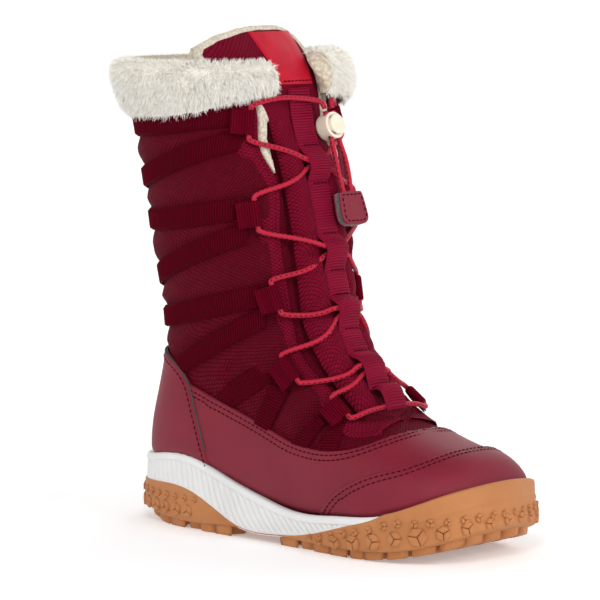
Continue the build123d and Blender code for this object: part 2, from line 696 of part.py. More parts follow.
with BuildPart() as pull_tab_back:
    add(tab_layer(-TAB_CORE / 2 - 0.02 - TAB_FACE, TAB_FACE))

# ---------------------------------------------------------------- cord lock
def cord_passage(slot):
    """The two holes for the cords through the lock, lengthened along its axis by a slot."""
    for side in (-1, 1):
        with BuildSketch(Plane(origin=tail_start(side), x_dir=BUTTON_OUT, z_dir=CORD_DOWN)) as passage:
            Circle(CORD_HOLE)
            if slot:
                with Locations((slot / 2, 0)):
                    Rectangle(slot, 2 * CORD_HOLE)
                with Locations((slot, 0)):
                    Circle(CORD_HOLE)
        extrude(passage.sketch, amount=2 * PIVOT_ABOVE_LOCK + 2, mode=Mode.SUBTRACT)


with BuildPart() as cord_lock_body:
    with BuildSketch(cord_plane.offset(LOCK_SPAN[0])):
        Circle(LOCK_RADIUS)
    extrude(amount=LOCK_SPAN[1] - LOCK_SPAN[0])
    rims = cord_lock_body.edges().filter_by(GeomType.CIRCLE).sort_by(Axis.X)
    fillet(rims[0], radius=2.6)
    fillet(cord_lock_body.edges().filter_by(GeomType.CIRCLE).sort_by(Axis.X)[-1], radius=0.5)
    with BuildSketch(cord_plane.offset(BORE_FLOOR)):
        Circle(BORE_RADIUS)
    extrude(amount=LOCK_SPAN[1] - BORE_FLOOR + 1, mode=Mode.SUBTRACT)
    cord_passage(0)

with BuildPart() as cord_lock_button:
    with BuildSketch(cord_plane.offset(BUTTON_SPAN[0])):
        Circle(BUTTON_RADIUS)
    extrude(amount=BUTTON_SPAN[1] - BUTTON_SPAN[0])
    fillet(cord_lock_button.edges().filter_by(GeomType.CIRCLE).sort_by(Axis.X)[-1], radius=0.8)
    cord_passage(BUTTON_TRAVEL)

spring_room = BUTTON_SPAN[0] - BORE_FLOOR - SPRING_WIRE
with BuildPart() as cord_lock_spring:
    with BuildLine():
        coil = Helix(pitch=SPRING_PITCH, height=spring_room - 0.1, radius=SPRING_RADIUS,
                     center=LOCK_CENTRE + BUTTON_OUT * (BORE_FLOOR + SPRING_WIRE / 2 + 0.05),
                     direction=BUTTON_OUT)
    with BuildSketch(Plane(origin=coil @ 0, z_dir=coil % 0)):
        Circle(SPRING_WIRE / 2)
    sweep(path=coil, is_frenet=True)

for name, builder in [
    ("outsole", outsole), ("midsole", midsole), ("shank", shank), ("insole_board", insole_board),
    ("footbed", footbed), ("heel_counter", heel_counter), ("toe_puff", toe_puff), ("lining", lining),
    ("vamp", vamp), ("heel_panel", heel_panel), ("mudguard", mudguard), ("toe_cap", toe_cap),
    ("tongue", tongue), ("tongue_binding", tongue_binding), ("tongue_label", tongue_label),
    ("tongue_webbing", tongue_webbing), ("fur_cuff", fur_cuff), ("lace", lace), ("lace_tails", lace_tails),
    ("pull_tab_core", pull_tab_core), ("pull_tab_front", pull_tab_front), ("pull_tab_back", pull_tab_back),
    ("cord_lock_body", cord_lock_body), ("cord_lock_button", cord_lock_button),
    ("cord_lock_spring", cord_lock_spring),
]:
    finish(builder, name)
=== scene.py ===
"""Blender model of an insulated winter boot for the right foot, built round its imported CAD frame.

Lengths in this file are millimetres, and build_mesh() turns them into metres. +X points to the toe, +Y to
the inner side and +Z up. The upper is described by the same fan of ribs as the CAD model's body form:
surf(s, th, t) is a point on that form, s along the fan from the toe to the top, th round the rib from 0 at
the front to pi at the back on the outer side, and t outwards from the form.
"""
import math

import bpy
import numpy as np
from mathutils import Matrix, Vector
from mathutils.geometry import delaunay_2d_cdt


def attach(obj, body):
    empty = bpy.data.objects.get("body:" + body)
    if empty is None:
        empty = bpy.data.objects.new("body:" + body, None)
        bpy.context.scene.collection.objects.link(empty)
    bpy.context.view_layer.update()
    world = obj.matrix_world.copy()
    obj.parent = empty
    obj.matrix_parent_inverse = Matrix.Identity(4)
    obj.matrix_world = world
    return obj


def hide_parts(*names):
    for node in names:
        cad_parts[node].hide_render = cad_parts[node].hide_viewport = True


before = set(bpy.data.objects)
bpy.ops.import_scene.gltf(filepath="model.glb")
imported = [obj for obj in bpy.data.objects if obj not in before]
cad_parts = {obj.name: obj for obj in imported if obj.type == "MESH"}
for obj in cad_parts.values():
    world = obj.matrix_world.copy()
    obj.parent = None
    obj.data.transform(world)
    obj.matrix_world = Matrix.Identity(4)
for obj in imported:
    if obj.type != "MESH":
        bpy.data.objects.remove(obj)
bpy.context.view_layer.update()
BOOT, LACE_END = "boot", "lace_end"
MM = 0.001
rng = np.random.default_rng(7)

# ---------------------------------------------------------------- driving dimensions
# Ribs: x, z at the front or top, x, z at the back or bottom, half width, side shift.
RIBS = np.array([
    (109, 34, 110.5, 16, 14, 6),
    (105, 41, 107, 8, 25.5, 6),
    (98, 47, 100, 2, 34, 5),
    (83, 52, 83, 0, 39, 3),
    (65, 58, 59, 0, 40.5, 1),
    (48, 67, 29, 0, 39, 0),
    (32, 82, -11, 0, 36.5, 0),
    (19, 101, -59, 0, 34.5, 0),
    (12, 120, -100, 24, 35.5, 0),
    (6, 140, -88, 80, 40, 0),
    (0, 162, -88, 128, 47, 0),
    (-7, 186, -95, 174, 49.5, 0),
    (-14, 208, -102, 208, 50.5, 0),
    (-18, 226, -105, 228, 50.5, 0),
    (-30, 243, -108, 246, 48.5, 0),
    (-44, 258, -110, 260, 44, 0),
], float)
POWER = 2.25
RIM = [(-113, 33), (-97, 34), (-67, 37.7), (-51, 35.7), (-27, 28), (-9, 23), (9, 19), (28, 18),
       (47, 19.6), (74, 22.5), (102, 32.5), (118, 39)]
WRAP = [(-116, 21), (-89, 21.5), (-69, 22), (-55, 20), (-44, 16), (-34, 11.5), (-22, 6.2), (0, 5),
        (27, 8.5), (43, 12.7), (57, 16.8), (77, 24), (100, 42), (118, 50)]
PLATE_FLOOR = [(-116, 18), (-103, 9), (-94, 6), (-80, 3.8), (-45, 3.9), (-14, 5), (5, 4.2), (20, 3.8),
               (60, 3.8), (80, 5.6), (97, 9.2), (112, 15), (119, 19)]
LUG_TIPS = [(-116, 14), (-103, 5.2), (-94, 2.2), (-81, 0), (60, 0), (80, 2), (97, 5.5), (112, 11),
            (119, 16)]
ARCH_SPAN = (-30.0, 1.0)
SOLE_OUTER = [(-107, -12), (-99, -21.5), (-85, -28.5), (-65, -33.5), (-37, -36), (-3, -37.5), (36, -41.5),
              (62, -43), (85, -40), (100, -33), (110, -20)]
SOLE_INNER = [(110.5, 28), (101, 43), (85, 46.5), (62, 45), (36, 41), (-3, 37), (-37, 35.5), (-65, 33.5),
              (-85, 28.5), (-99, 21.5), (-107, 12)]
SOLE_BACK, SOLE_FRONT = (-110.5, 0), (115.5, 3)
SOLE_INSETS = [(0, 5), (5, 1.5), (14, 0), (26, 0.5), (42, 1.5)]
THROAT = [(-26, 232), (-19, 212), (-14.5, 192), (-8.5, 179), (-3.6, 153), (-1.3, 133.5), (2.6, 109),
          (10.5, 91), (24.5, 79), (38, 68), (47, 63), (56, 64)]
MUDGUARD_EDGE = [(-53, 74), (-37, 68), (-19, 62), (-1, 56), (12, 52), (23.5, 50), (35, 49.4), (45, 50.2),
                 (58, 54), (66, 60)]
HEEL_SEAM = [(-95, 91), (-84, 90.5), (-69, 87), (-61, 83), (-54, 75), (-51, 65), (-48, 53.5), (-45, 42),
             (-40, 28), (-37, 22)]
TOE_CAP_EDGE = [(30, 13), (33, 19), (41, 27), (49, 33), (59, 38), (67, 41), (79, 44), (88, 48), (94, 54)]
FUR_EDGE = [(-140, 205), (-60, 206), (-42, 209), (-24, 216), (-5, 222), (60, 222)]
STRAP_WIDTH = 11.0
WRAP_STRAPS = {
    "strap_top_upper": [(-125, 193), (-74, 197), (-23, 203)],
    "strap_top_lower": [(-125, 164), (-80, 171), (-43, 183.5), (-20, 191.5)],
    "strap_middle_upper": [(-125, 149), (-73, 150), (-19, 157.4)],
    "strap_middle_lower": [(-125, 103), (-71, 124), (-14, 146)],
    "strap_ankle_upper": [(-125, 96), (-68, 102), (-11, 115)],
    "strap_ankle_lower": [(-62, 77), (-54, 81), (-9, 105)],
}
SHORT_STRAPS = {
    "instep_strap_back": [(-37, 71.5), (-10, 89), (-3, 79), (-25, 65)],
    "instep_strap_front": [(-4, 78), (7, 75), (-1, 56.3), (-12, 60)],
    "vamp_strap_back": [(26, 66), (32, 62), (25, 50.2), (14, 52)],
    "vamp_strap_front": [(34.5, 62), (42, 62), (42.5, 50.5), (32, 50)],
}
LOOPS = [
    ((-17.5, 30.9, 210.7), (-15.9, 33.9, 198.8)),
    ((-9.9, 36.6, 167.5), (-7.9, 36.2, 155.0)),
    ((-3.3, 31.3, 126.4), (0.3, 29.4, 114.6)),
    ((4.0, 31.3, 91.2), (13.5, 31.7, 81.7)),
    ((33.8, 27.6, 73.2), (43.1, 28.1, 66.6)),
]
LOOP_RADIUS, LOOP_TAIL = 2.15, 9.5
CROSSINGS = [183.5, 140.0, 110.5, 82.8]
BAR_CROSSING = 67.6
WEBBING_BARS = [(193.0, 174.0), (149.0, 131.0), (119.0, 102.0), (91.5, 74.5)]
WEBBING_WIDTH, WEBBING_TOP, WEBBING_BOTTOM = 15.0, 221.0, 65.6
CORD = 2.5
LOCK_TILT = math.radians(17.0)
LOCK_CENTRE = np.array((-4.6, 14.3, 202.0))
CORD_DOWN = np.array((math.sin(LOCK_TILT), 0, -math.cos(LOCK_TILT)))
BUTTON_OUT = np.array((math.cos(LOCK_TILT), 0, math.sin(LOCK_TILT)))
PIVOT_ABOVE_LOCK, TAIL_SPACING = 7.5, 5.6
TONGUE_TOP, TONGUE_END = 249.0, 57.0


# ---------------------------------------------------------------- the body form
def natural_spline(knots, values, at):
    """Natural cubic spline through rows of values at knots, read at the places in at."""
    knots, values, at = np.asarray(knots, float), np.asarray(values, float), np.asarray(at, float)
    count = len(knots)
    step = np.diff(knots)
    slopes = np.diff(values, axis=0) / step[:, None]
    system = np.eye(count)
    right = np.zeros_like(values)
    for i in range(1, count - 1):
        system[i, i - 1:i + 2] = step[i - 1], 2 * (step[i - 1] + step[i]), step[i]
        right[i] = 6 * (slopes[i] - slopes[i - 1])
    bend = np.linalg.solve(system, right)
    i = np.clip(np.searchsorted(knots, at) - 1, 0, count - 2)
    a = ((knots[i + 1] - at) / step[i])[:, None]
    b = 1 - a
    return (a * values[i] + b * values[i + 1]
            + ((a ** 3 - a) * bend[i] + (b ** 3 - b) * bend[i + 1]) * step[i][:, None] ** 2 / 6)


def run_lengths(points):
    steps = np.linalg.norm(np.diff(points, axis=0), axis=1)
    return np.concatenate([[0], np.cumsum(steps)])


def through(points, step=1.0, smooth=True):
    """Points at about a step's distance along a smooth or straight-sided line."""
    points = np.asarray(points, float)
    lengths = run_lengths(points)
    at = np.linspace(0, lengths[-1], max(2, int(lengths[-1] / step) + 1))
    if smooth:
        return natural_spline(lengths, points, at)
    return np.stack([np.interp(at, lengths, column) for column in points.T], 1)


middles = (RIBS[:, 0:2] + RIBS[:, 2:4]) / 2
fronts = run_lengths(RIBS[:, 0:2])
S_KNOTS = (run_lengths(middles) + fronts) / 2
S = np.linspace(0, S_KNOTS[-1], 1500)
TABLE = natural_spline(S_KNOTS, RIBS, S)


def unit(vectors):
    return vectors / np.linalg.norm(vectors, axis=-1, keepdims=True)


def power(value, exponent):
    return np.sign(value) * np.abs(value) ** exponent


def surf(s, th, t=0.0):
    """Points on the form; s, th and t may be arrays."""
    s, th, t = np.broadcast_arrays(np.asarray(s, float), th, t)
    fx, fz, bx, bz, half_width, side = (np.interp(s, S, TABLE[:, k]) for k in range(6))
    half = np.hypot(fx - bx, fz - bz) / 2
    along_x, along_z = (fx - bx) / (2 * half), (fz - bz) / (2 * half)
    w = power(np.cos(th), 2 / POWER) * (half + t)
    v = power(np.sin(th), 2 / POWER) * (half_width + t)
    return np.stack([(fx + bx) / 2 + along_x * w, side - v, (fz + bz) / 2 + along_z * w], -1)


def locate(points, t=0.0):
    """s and th of side-view points (x, z), on the outer side."""
    x, z = np.asarray(points, float).T
    fx, fz, bx, bz = TABLE[:, :4].T[:, None, :]
    half = np.hypot(fx - bx, fz - bz) / 2
    along_x, along_z = (fx - bx) / (2 * half), (fz - bz) / (2 * half)
    dx, dz = x[:, None] - (fx + bx) / 2, z[:, None] - (fz + bz) / 2
    off = along_x * dz - along_z * dx
    w = (along_x * dx + along_z * dz) / (half + t)
    cost = np.abs(off) + 40 * np.maximum(np.abs(w) - 1.04, 0)
    best = np.clip(cost.argmin(1), 1, len(S) - 2)
    rows = np.arange(len(x))
    low, high = off[rows, best - 1], off[rows, best + 1]
    share = np.clip(np.where(np.abs(high - low) > 1e-9, -low / (high - low + 1e-12), 0.5), 0, 1)
    s = S[best - 1] + share * (S[best + 1] - S[best - 1])
    fx, fz, bx, bz = (np.interp(s, S, TABLE[:, k]) for k in range(4))
    half = np.hypot(fx - bx, fz - bz) / 2
    w = ((fx - bx) * (x - (fx + bx) / 2) + (fz - bz) * (z - (fz + bz) / 2)) / (2 * half * (half + t))
    return s, np.arccos(power(np.clip(w, -1, 1), POWER / 2))


def s_at_height(th, z, t=0.0):
    """s where the form at th has a height z, for the leg and the instep."""
    th, z = np.broadcast_arrays(np.asarray(th, float), z)
    result = np.empty(th.shape)
    rows = S[S > S_KNOTS[4]]
    for index in np.ndindex(th.shape):
        heights = np.maximum.accumulate(surf(rows, th[index], t)[:, 2])
        result[index] = np.interp(z[index], heights, rows)
    return result


def normals(s, th, t=0.0):
    along_s = surf(s + 0.2, th, t) - surf(s - 0.2, th, t)
    along_th = surf(s, th + 0.004, t) - surf(s, th - 0.004, t)
    normal = np.cross(along_th, along_s)
    normal /= np.linalg.norm(normal, axis=-1, keepdims=True) + 1e-12
    outward = surf(s, th, np.asarray(t) + 1.0) - surf(s, th, t)
    return normal * np.where((normal * outward).sum(-1, keepdims=True) < 0, -1, 1)


def front_th(s, y, t=0.0):
    """th on the front of the form at a distance y from its middle (outer side positive)."""
    half_width = np.interp(s, S, TABLE[:, 4]) + t
    return np.arcsin(power(np.clip(np.asarray(y) / half_width, -0.98, 0.98), POWER / 2))


# ---------------------------------------------------------------- meshes
def grid_faces(rows, columns, wrap_rows=False, wrap_columns=False):
    index = np.arange(rows * columns).reshape(rows, columns)
    if wrap_columns:
        index = np.hstack([index, index[:, :1]])
    if wrap_rows:
        index = np.vstack([index, index[:1]])
    return np.stack([index[:-1, :-1], index[1:, :-1], index[1:, 1:], index[:-1, 1:]], -1).reshape(-1, 4)


def facing(points, faces, outward):
    """Faces turned so that they look along outward, one direction for each point."""
    corners = points[faces[:, :3]]
    normal = np.cross(corners[:, 1] - corners[:, 0], corners[:, 2] - corners[:, 0])
    if (normal * outward[faces[:, 0]]).sum() < 0:
        return faces[:, ::-1]
    return faces


def build_mesh(name, points, faces, uv=None, tone=None):
    points = np.asarray(points, float)
    mesh = bpy.data.meshes.new(name)
    mesh.vertices.add(len(points))
    mesh.vertices.foreach_set("co", (points * MM).ravel())
    size = faces.shape[1]
    mesh.loops.add(faces.size)
    mesh.loops.foreach_set("vertex_index", faces.astype(np.int32).ravel())
    mesh.polygons.add(len(faces))
    mesh.polygons.foreach_set("loop_start", np.arange(len(faces), dtype=np.int32) * size)
    mesh.polygons.foreach_set("use_smooth", np.ones(len(faces), bool))
    mesh.update(calc_edges=True)
    if uv is not None:
        layer = mesh.uv_layers.new(name="UVMap")
        layer.data.foreach_set("uv", uv[faces.ravel()].astype(np.float32).ravel())
    if tone is not None:
        attribute = mesh.attributes.new("tone", "FLOAT", "POINT")
        attribute.data.foreach_set("value", tone.astype(np.float32))
    return mesh


def add_piece(name, mesh, material, nodes=(), body=BOOT):
    piece = bpy.data.objects.new(name, mesh)
    bpy.context.scene.collection.objects.link(piece)
    mesh.materials.clear()
    mesh.materials.append(material)
    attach(piece, body)
    if nodes:
        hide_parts(*nodes)
    return piece


class Gatherer:
    """Collects many small meshes into one."""

    def __init__(self):
        self.points, self.faces, self.uv, self.count = [], [], [], 0

    def add(self, points, faces, uv=None):
        points = np.asarray(points, float).reshape(-1, 3)
        self.points.append(points)
        self.faces.append(np.asarray(faces) + self.count)
        self.uv.append(np.zeros((len(points), 2)) if uv is None else uv)
        self.count += len(points)

    def mesh(self, name):
        return build_mesh(name, np.vstack(self.points), np.vstack(self.faces), np.vstack(self.uv))

    def add_sheet(self, points, outward, uv=None):
        """A grid of points (rows, columns, 3), turned to face along outward."""
        flat = points.reshape(-1, 3)
        faces = facing(flat, grid_faces(*points.shape[:2]), outward.reshape(-1, 3))
        self.add(flat, faces, flat[:, :2] if uv is None else uv.reshape(-1, 2))


def frames_along(path, up):
    """Tangents, and two directions across the path, the first near up."""
    tangent = np.gradient(path, axis=0)
    tangent = unit(tangent)
    across = up - (up * tangent).sum(1, keepdims=True) * tangent
    across = unit(across)
    return tangent, across, np.cross(tangent, across)


def carried_frames(path):
    """Tangents, and two directions across the path that never twist about it."""
    tangent = np.gradient(path, axis=0)
    tangent = unit(tangent)
    across = np.empty_like(path)
    start = np.cross(tangent[0], (0.3, 0.2, 0.9))
    across[0] = start / np.linalg.norm(start)
    for i in range(1, len(path)):
        moved = across[i - 1] - np.dot(across[i - 1], tangent[i]) * tangent[i]
        across[i] = moved / np.linalg.norm(moved)
    return tangent, across, np.cross(tangent, across)


def tube(path, radius, sides=12):
    """Points, faces and uv of a tube; u is the length along it and v the share round it."""
    path = np.asarray(path, float)
    _, across, beside = carried_frames(path)
    angle = np.linspace(0, 2 * np.pi, sides + 1)
    radius = np.broadcast_to(radius, len(path))[:, None, None]
    ring = np.cos(angle)[None, :, None] * across[:, None] + np.sin(angle)[None, :, None] * beside[:, None]
    points = path[:, None] + ring * radius
    lengths = run_lengths(path)
    uv = np.stack(np.broadcast_arrays(lengths[:, None], (angle / (2 * np.pi))[None, :]), -1)
    return points.reshape(-1, 3), grid_faces(len(path), sides + 1)[:, ::-1], uv.reshape(-1, 2)


def rounded_edge(edge, radius):
    """0 at a piece's edge, rising as a quarter circle to 1 at a radius from it."""
    return np.sqrt(np.clip(1 - (1 - np.clip(edge / radius, 0, 1)) ** 2, 0, 1))


def smooth_ramp(value, low, high):
    share = np.clip((value - low) / (high - low), 0, 1)
    return share * share * (3 - 2 * share)


def waves(points, scale, seed, octaves=2):
    """Smooth seeded noise from sums of slanted sine waves, between about -1 and 1."""
    source = np.random.default_rng(seed)
    total = np.zeros(points.shape[:-1])
    for octave in range(octaves):
        for _ in range(5):
            direction = source.normal(size=3)
            direction = unit(direction)
            length = scale / (1.7 ** octave) * source.uniform(0.7, 1.4)
            total += np.sin(points @ direction * 2 * np.pi / length + source.uniform(0, 6.28)) / 1.6 ** octave
    return total / 5


def distance_to_line(points, line, chunk=4000):
    """Distance from each point to a polyline in space."""
    start, run = line[:-1], np.diff(line, axis=0)
    square = (run ** 2).sum(1) + 1e-12
    result = np.empty(len(points))
    for i in range(0, len(points), chunk):
        offset = points[i:i + chunk, None] - start[None]
        share = np.clip((offset * run).sum(-1) / square, 0, 1)
        result[i:i + chunk] = np.sqrt(((offset - share[..., None] * run) ** 2).sum(-1).min(1))
    return result


def inside(points, polygon):
    """Even-odd test of points (n, 2) against a closed polygon."""
    x, y = points.T
    result = np.zeros(len(points), bool)
    for (ax, ay), (bx, by) in zip(polygon, np.roll(polygon, -1, axis=0)):
        crosses = (ay > y) != (by > y)
        with np.errstate(divide="ignore", invalid="ignore"):
            result ^= crosses & (x < (bx - ax) * (y - ay) / (by - ay) + ax)
    return result


GIRTH = 38.0               # millimetres for one radian of th, roughly


def joined_outline(edge, seam):
    """Domain outline from a line that starts and ends on the front or the back centre line."""
    s, th = locate(edge)
    centre = 0.0 if seam == "front" else np.pi
    th[0] = th[-1] = centre
    outer = np.stack([s, th], 1)
    inner = np.stack([s, 2 * centre - th], 1)[::-1][1:-1]
    return np.vstack([outer, inner])


def patch(outline, t_low, t_top, spacing=1.6, lip=1.0, relief=None):
    """Points, triangles and uv of a sheet on the form inside a domain outline.

    Its edge is rounded and comes down to t_low over a width of lip."""
    outline = np.asarray(outline, float)
    flat = outline * (1, GIRTH)
    outline = outline[np.linalg.norm(np.diff(flat, axis=0, append=flat[:1]), axis=1) > 0.05]
    border = surf(outline[:, 0], outline[:, 1], t_low)
    closed = np.vstack([border, border[:1]])
    flat = outline * (1, GIRTH)
    area = (flat[:, 0] * np.roll(flat[:, 1], -1) - np.roll(flat[:, 0], -1) * flat[:, 1]).sum()
    step = np.roll(outline, -1, axis=0) - np.roll(outline, 1, axis=0)
    along_s = (surf(outline[:, 0] + 0.2, outline[:, 1]) - surf(outline[:, 0] - 0.2, outline[:, 1])) / 0.4
    along_th = (surf(outline[:, 0], outline[:, 1] + 0.004)
                - surf(outline[:, 0], outline[:, 1] - 0.004)) / 0.008
    size_s = np.linalg.norm(along_s, axis=1)
    size_th = np.linalg.norm(along_th, axis=1)
    lean = (along_s * along_th).sum(1) / (size_s * size_th)
    tangent_u = step[:, 0] * size_s + step[:, 1] * size_th * lean
    tangent_v = step[:, 1] * size_th * np.sqrt(np.maximum(1 - lean ** 2, 0.05))
    norm = np.hypot(tangent_u, tangent_v) + 1e-9
    turn = 1 if area > 0 else -1
    inward_u, inward_v = -turn * tangent_v / norm, turn * tangent_u / norm
    inward_th = inward_v / np.sqrt(np.maximum(1 - lean ** 2, 0.05)) / size_th
    inward_s = (inward_u - inward_th * size_th * lean) / size_s
    inward = np.stack([inward_s, inward_th], 1)
    rings = []
    for share in (0.12, 0.4, 0.75, 1.15):
        ring = outline + inward * lip * share
        distance = distance_to_line(surf(ring[:, 0], ring[:, 1], t_low), closed)
        rings.append(ring[distance > 0.8 * lip * share])
    low, high = outline.min(0), outline.max(0)
    us = np.arange(low[0], high[0], spacing)
    vs = np.arange(low[1], high[1], spacing / GIRTH)
    mesh_u, mesh_v = np.meshgrid(us, vs, indexing="ij")
    mesh_u = mesh_u + (np.arange(len(vs)) % 2 * 0.5 * spacing)[None, :]
    field = np.stack([mesh_u.ravel(), mesh_v.ravel()], 1)
    field = field[inside(field, outline)]
    distance = distance_to_line(surf(field[:, 0], field[:, 1], t_low), closed)
    field = field[distance > 1.15 * lip + 0.35 * spacing]
    domain = np.vstack([outline, *rings, field])
    scaled = domain * (1, GIRTH)
    count = len(outline)
    verts, _, faces, *_ = delaunay_2d_cdt([Vector(p) for p in scaled], [], [list(range(count))], 1, 1e-6)
    domain = np.array([tuple(v) for v in verts]) / (1, GIRTH)
    faces = np.array([face for face in faces if len(face) == 3])
    used = np.unique(faces)
    renumber = np.full(len(domain), -1)
    renumber[used] = np.arange(len(used))
    domain, faces = domain[used], renumber[faces]
    s, th = domain.T
    base = surf(s, th, t_low)
    distance = distance_to_line(base, closed)
    t = t_low + (t_top - t_low) * rounded_edge(distance, lip)
    if relief is not None:
        t = t + relief(base, distance)
    points = surf(s, th, t)
    uv = np.stack([th * GIRTH * 1.15, s], 1)
    return points, facing(points, faces, normals(s, th)), uv


# ---------------------------------------------------------------- materials
class Shader:
    """A node material in the making."""

    def __init__(self, name, color, roughness, **sockets):
        self.material = bpy.data.materials.new(name)
        self.material.use_nodes = True
        self.tree = self.material.node_tree
        self.bsdf = self.tree.nodes["Principled BSDF"]
        self.bsdf.inputs["Base Color"].default_value = (*color, 1)
        self.bsdf.inputs["Roughness"].default_value = roughness
        for socket, value in sockets.items():
            self.bsdf.inputs[socket.replace("_", " ")].default_value = value
        self.material.diffuse_color = (*color, 1)

    def node(self, kind, settings=None, **inputs):
        made = self.tree.nodes.new("ShaderNode" + kind)
        for key, value in (settings or {}).items():
            setattr(made, key, value)
        for key, value in inputs.items():
            socket = made.inputs[int(key[1:])] if key[0] == "i" and key[1:].isdigit() else made.inputs[
                key.replace("_", " ")]
            if isinstance(value, bpy.types.NodeSocket):
                self.tree.links.new(value, socket)
            else:
                socket.default_value = value
        return made

    def math(self, operation, first, second=0.0):
        return self.node("Math", {"operation": operation}, i0=first, i1=second).outputs[0]

    def millimetres(self):
        """Object coordinates in millimetres."""
        where = self.node("TexCoord").outputs["Object"]
        return self.node("VectorMath", {"operation": "SCALE"}, i0=where, Scale=1000.0).outputs[0]

    def uv(self):
        where = self.node("TexCoord").outputs["UV"]
        parts = self.node("SeparateXYZ", None, Vector=where)
        return where, parts.outputs[0], parts.outputs[1]

    def noise(self, vector, scale, detail=3.0, roughness=0.5):
        return self.node("TexNoise", None, Vector=vector, Scale=scale, Detail=detail,
                         Roughness=roughness).outputs["Fac"]

    def ramp(self, value, low, high, to_low=0.0, to_high=1.0):
        return self.node("MapRange", {"clamp": True}, i0=value, i1=low, i2=high, i3=to_low,
                         i4=to_high).outputs[0]

    def mix(self, factor, first, second, blend="MIX"):
        made = self.node("Mix", {"data_type": "RGBA", "blend_type": blend})
        for socket, value in ((made.inputs[0], factor), (made.inputs[6], first), (made.inputs[7], second)):
            if isinstance(value, bpy.types.NodeSocket):
                self.tree.links.new(value, socket)
            elif isinstance(value, tuple):
                socket.default_value = (*value, 1)
            else:
                socket.default_value = value
        return made.outputs[2]

    def color(self, output):
        self.tree.links.new(output, self.bsdf.inputs["Base Color"])

    def roughness(self, output):
        self.tree.links.new(output, self.bsdf.inputs["Roughness"])

    def bump(self, height, distance, strength=1.0, after=None):
        """Bump of a height from 0 to 1 over a distance in millimetres."""
        made = self.node("Bump", None, Height=height, Strength=strength, Distance=distance * MM)
        if after is not None:
            self.tree.links.new(after, made.inputs["Normal"])
        self.tree.links.new(made.outputs[0], self.bsdf.inputs["Normal"])
        return made.outputs[0]


def woven(name, light, dark, cell, roughness, sheen=0.0, depth=0.25):
    """Plain basket weave of a cell size in millimetres, from the uv layer, with painted shade: dark in the
    dips between the threads.
    """
    shader = Shader(name, light, roughness, Sheen_Weight=sheen, Sheen_Roughness=0.3,
                    Sheen_Tint=(0.8, 0.05, 0.14, 1), Specular_IOR_Level=0.06)
    _, straight_u, straight_v = shader.uv()
    u = shader.math("ADD", straight_u, straight_v)
    v = shader.math("SUBTRACT", straight_u, straight_v)
    scale = math.pi / cell / math.sqrt(2)
    across = shader.math("SINE", shader.math("MULTIPLY", u, scale))
    along = shader.math("SINE", shader.math("MULTIPLY", v, scale))
    over = shader.math("MULTIPLY", across, along)
    threads_u = shader.math("ABSOLUTE", shader.math("SINE", shader.math("MULTIPLY", u, 2 * scale)))
    threads_v = shader.math("ABSOLUTE", shader.math("SINE", shader.math("MULTIPLY", v, 2 * scale)))
    which = shader.ramp(over, -0.25, 0.25)
    threads = shader.node("Mix", {"data_type": "FLOAT"}, i0=which, i2=threads_u, i3=threads_v).outputs[0]
    crown = shader.math("POWER", shader.math("ABSOLUTE", over), 0.4)
    height = shader.math("MULTIPLY", crown, shader.math("ADD", 0.55, shader.math("MULTIPLY", threads, 0.45)))
    where = shader.millimetres()
    streak = shader.noise(where, 0.35, 4.0, 0.7)
    fibre = shader.noise(where, 2.2, 2.0, 0.6)
    # painted shade: colour runs from dark in the weave's dips to light on the thread crowns, with random
    # fibre tone mixed in
    tone = shader.math("MULTIPLY", height, shader.ramp(fibre, 0.3, 0.7, 0.72, 1.0))
    base = shader.mix(tone, dark, light)
    shade = shader.ramp(streak, 0.3, 0.7, 0.0, 0.28)
    shader.color(shader.mix(shade, base, dark))
    shader.roughness(shader.ramp(height, 0.0, 1.0, min(roughness + 0.2, 1.0), roughness))
    shader.bump(height, depth, 0.9)
    return shader.material


def grosgrain(name, light, dark, roughness, thread=0.45):
    """Ribbed tape: u runs along the tape. The large ribs are geometry; this adds threads and colour, with
    painted shade darkening the valleys between ribs and threads.
    """
    shader = Shader(name, light, roughness, Sheen_Weight=0.03, Sheen_Roughness=0.3,
                    Sheen_Tint=(0.8, 0.05, 0.14, 1), Specular_IOR_Level=0.03)
    _, u, v = shader.uv()
    threads = shader.math("ABSOLUTE", shader.math("SINE", shader.math("MULTIPLY", v, math.pi / thread)))
    ribs = shader.math("ABSOLUTE", shader.math("COSINE", shader.math("MULTIPLY", u, math.pi / 1.35)))
    fine = shader.noise(shader.millimetres(), 3.0, 2.0)
    height = shader.math("ADD", shader.math("MULTIPLY", threads, 0.3), shader.math("MULTIPLY", ribs, 0.7))
    # painted shade: dark in the rib and thread valleys, light on their tops, with random fine tone mixed in
    tone = shader.math("MULTIPLY", height, shader.ramp(fine, 0.3, 0.7, 0.7, 1.0))
    shader.color(shader.mix(tone, dark, light))
    shader.bump(height, 0.14, 0.8)
    return shader.material


def leather(name, light, dark, roughness):
    """Smooth coated leather with a very fine grain."""
    shader = Shader(name, light, roughness, Specular_IOR_Level=0.2)
    where = shader.millimetres()
    cloud = shader.noise(where, 0.035, 4.0, 0.55)
    grain = shader.node("TexVoronoi", {"feature": "SMOOTH_F1"}, Vector=where, Scale=1.9, Smoothness=0.5)
    pores = shader.noise(where, 3.2, 3.0, 0.6)
    height = shader.math("ADD", shader.math("MULTIPLY", grain.outputs["Distance"], 0.5), pores)
    shader.color(shader.mix(shader.ramp(cloud, 0.32, 0.68, 0.0, 0.55), light, dark))
    shader.roughness(shader.ramp(pores, 0.2, 0.8, roughness - 0.05, roughness + 0.1))
    shader.bump(height, 0.05, 0.5)
    return shader.material


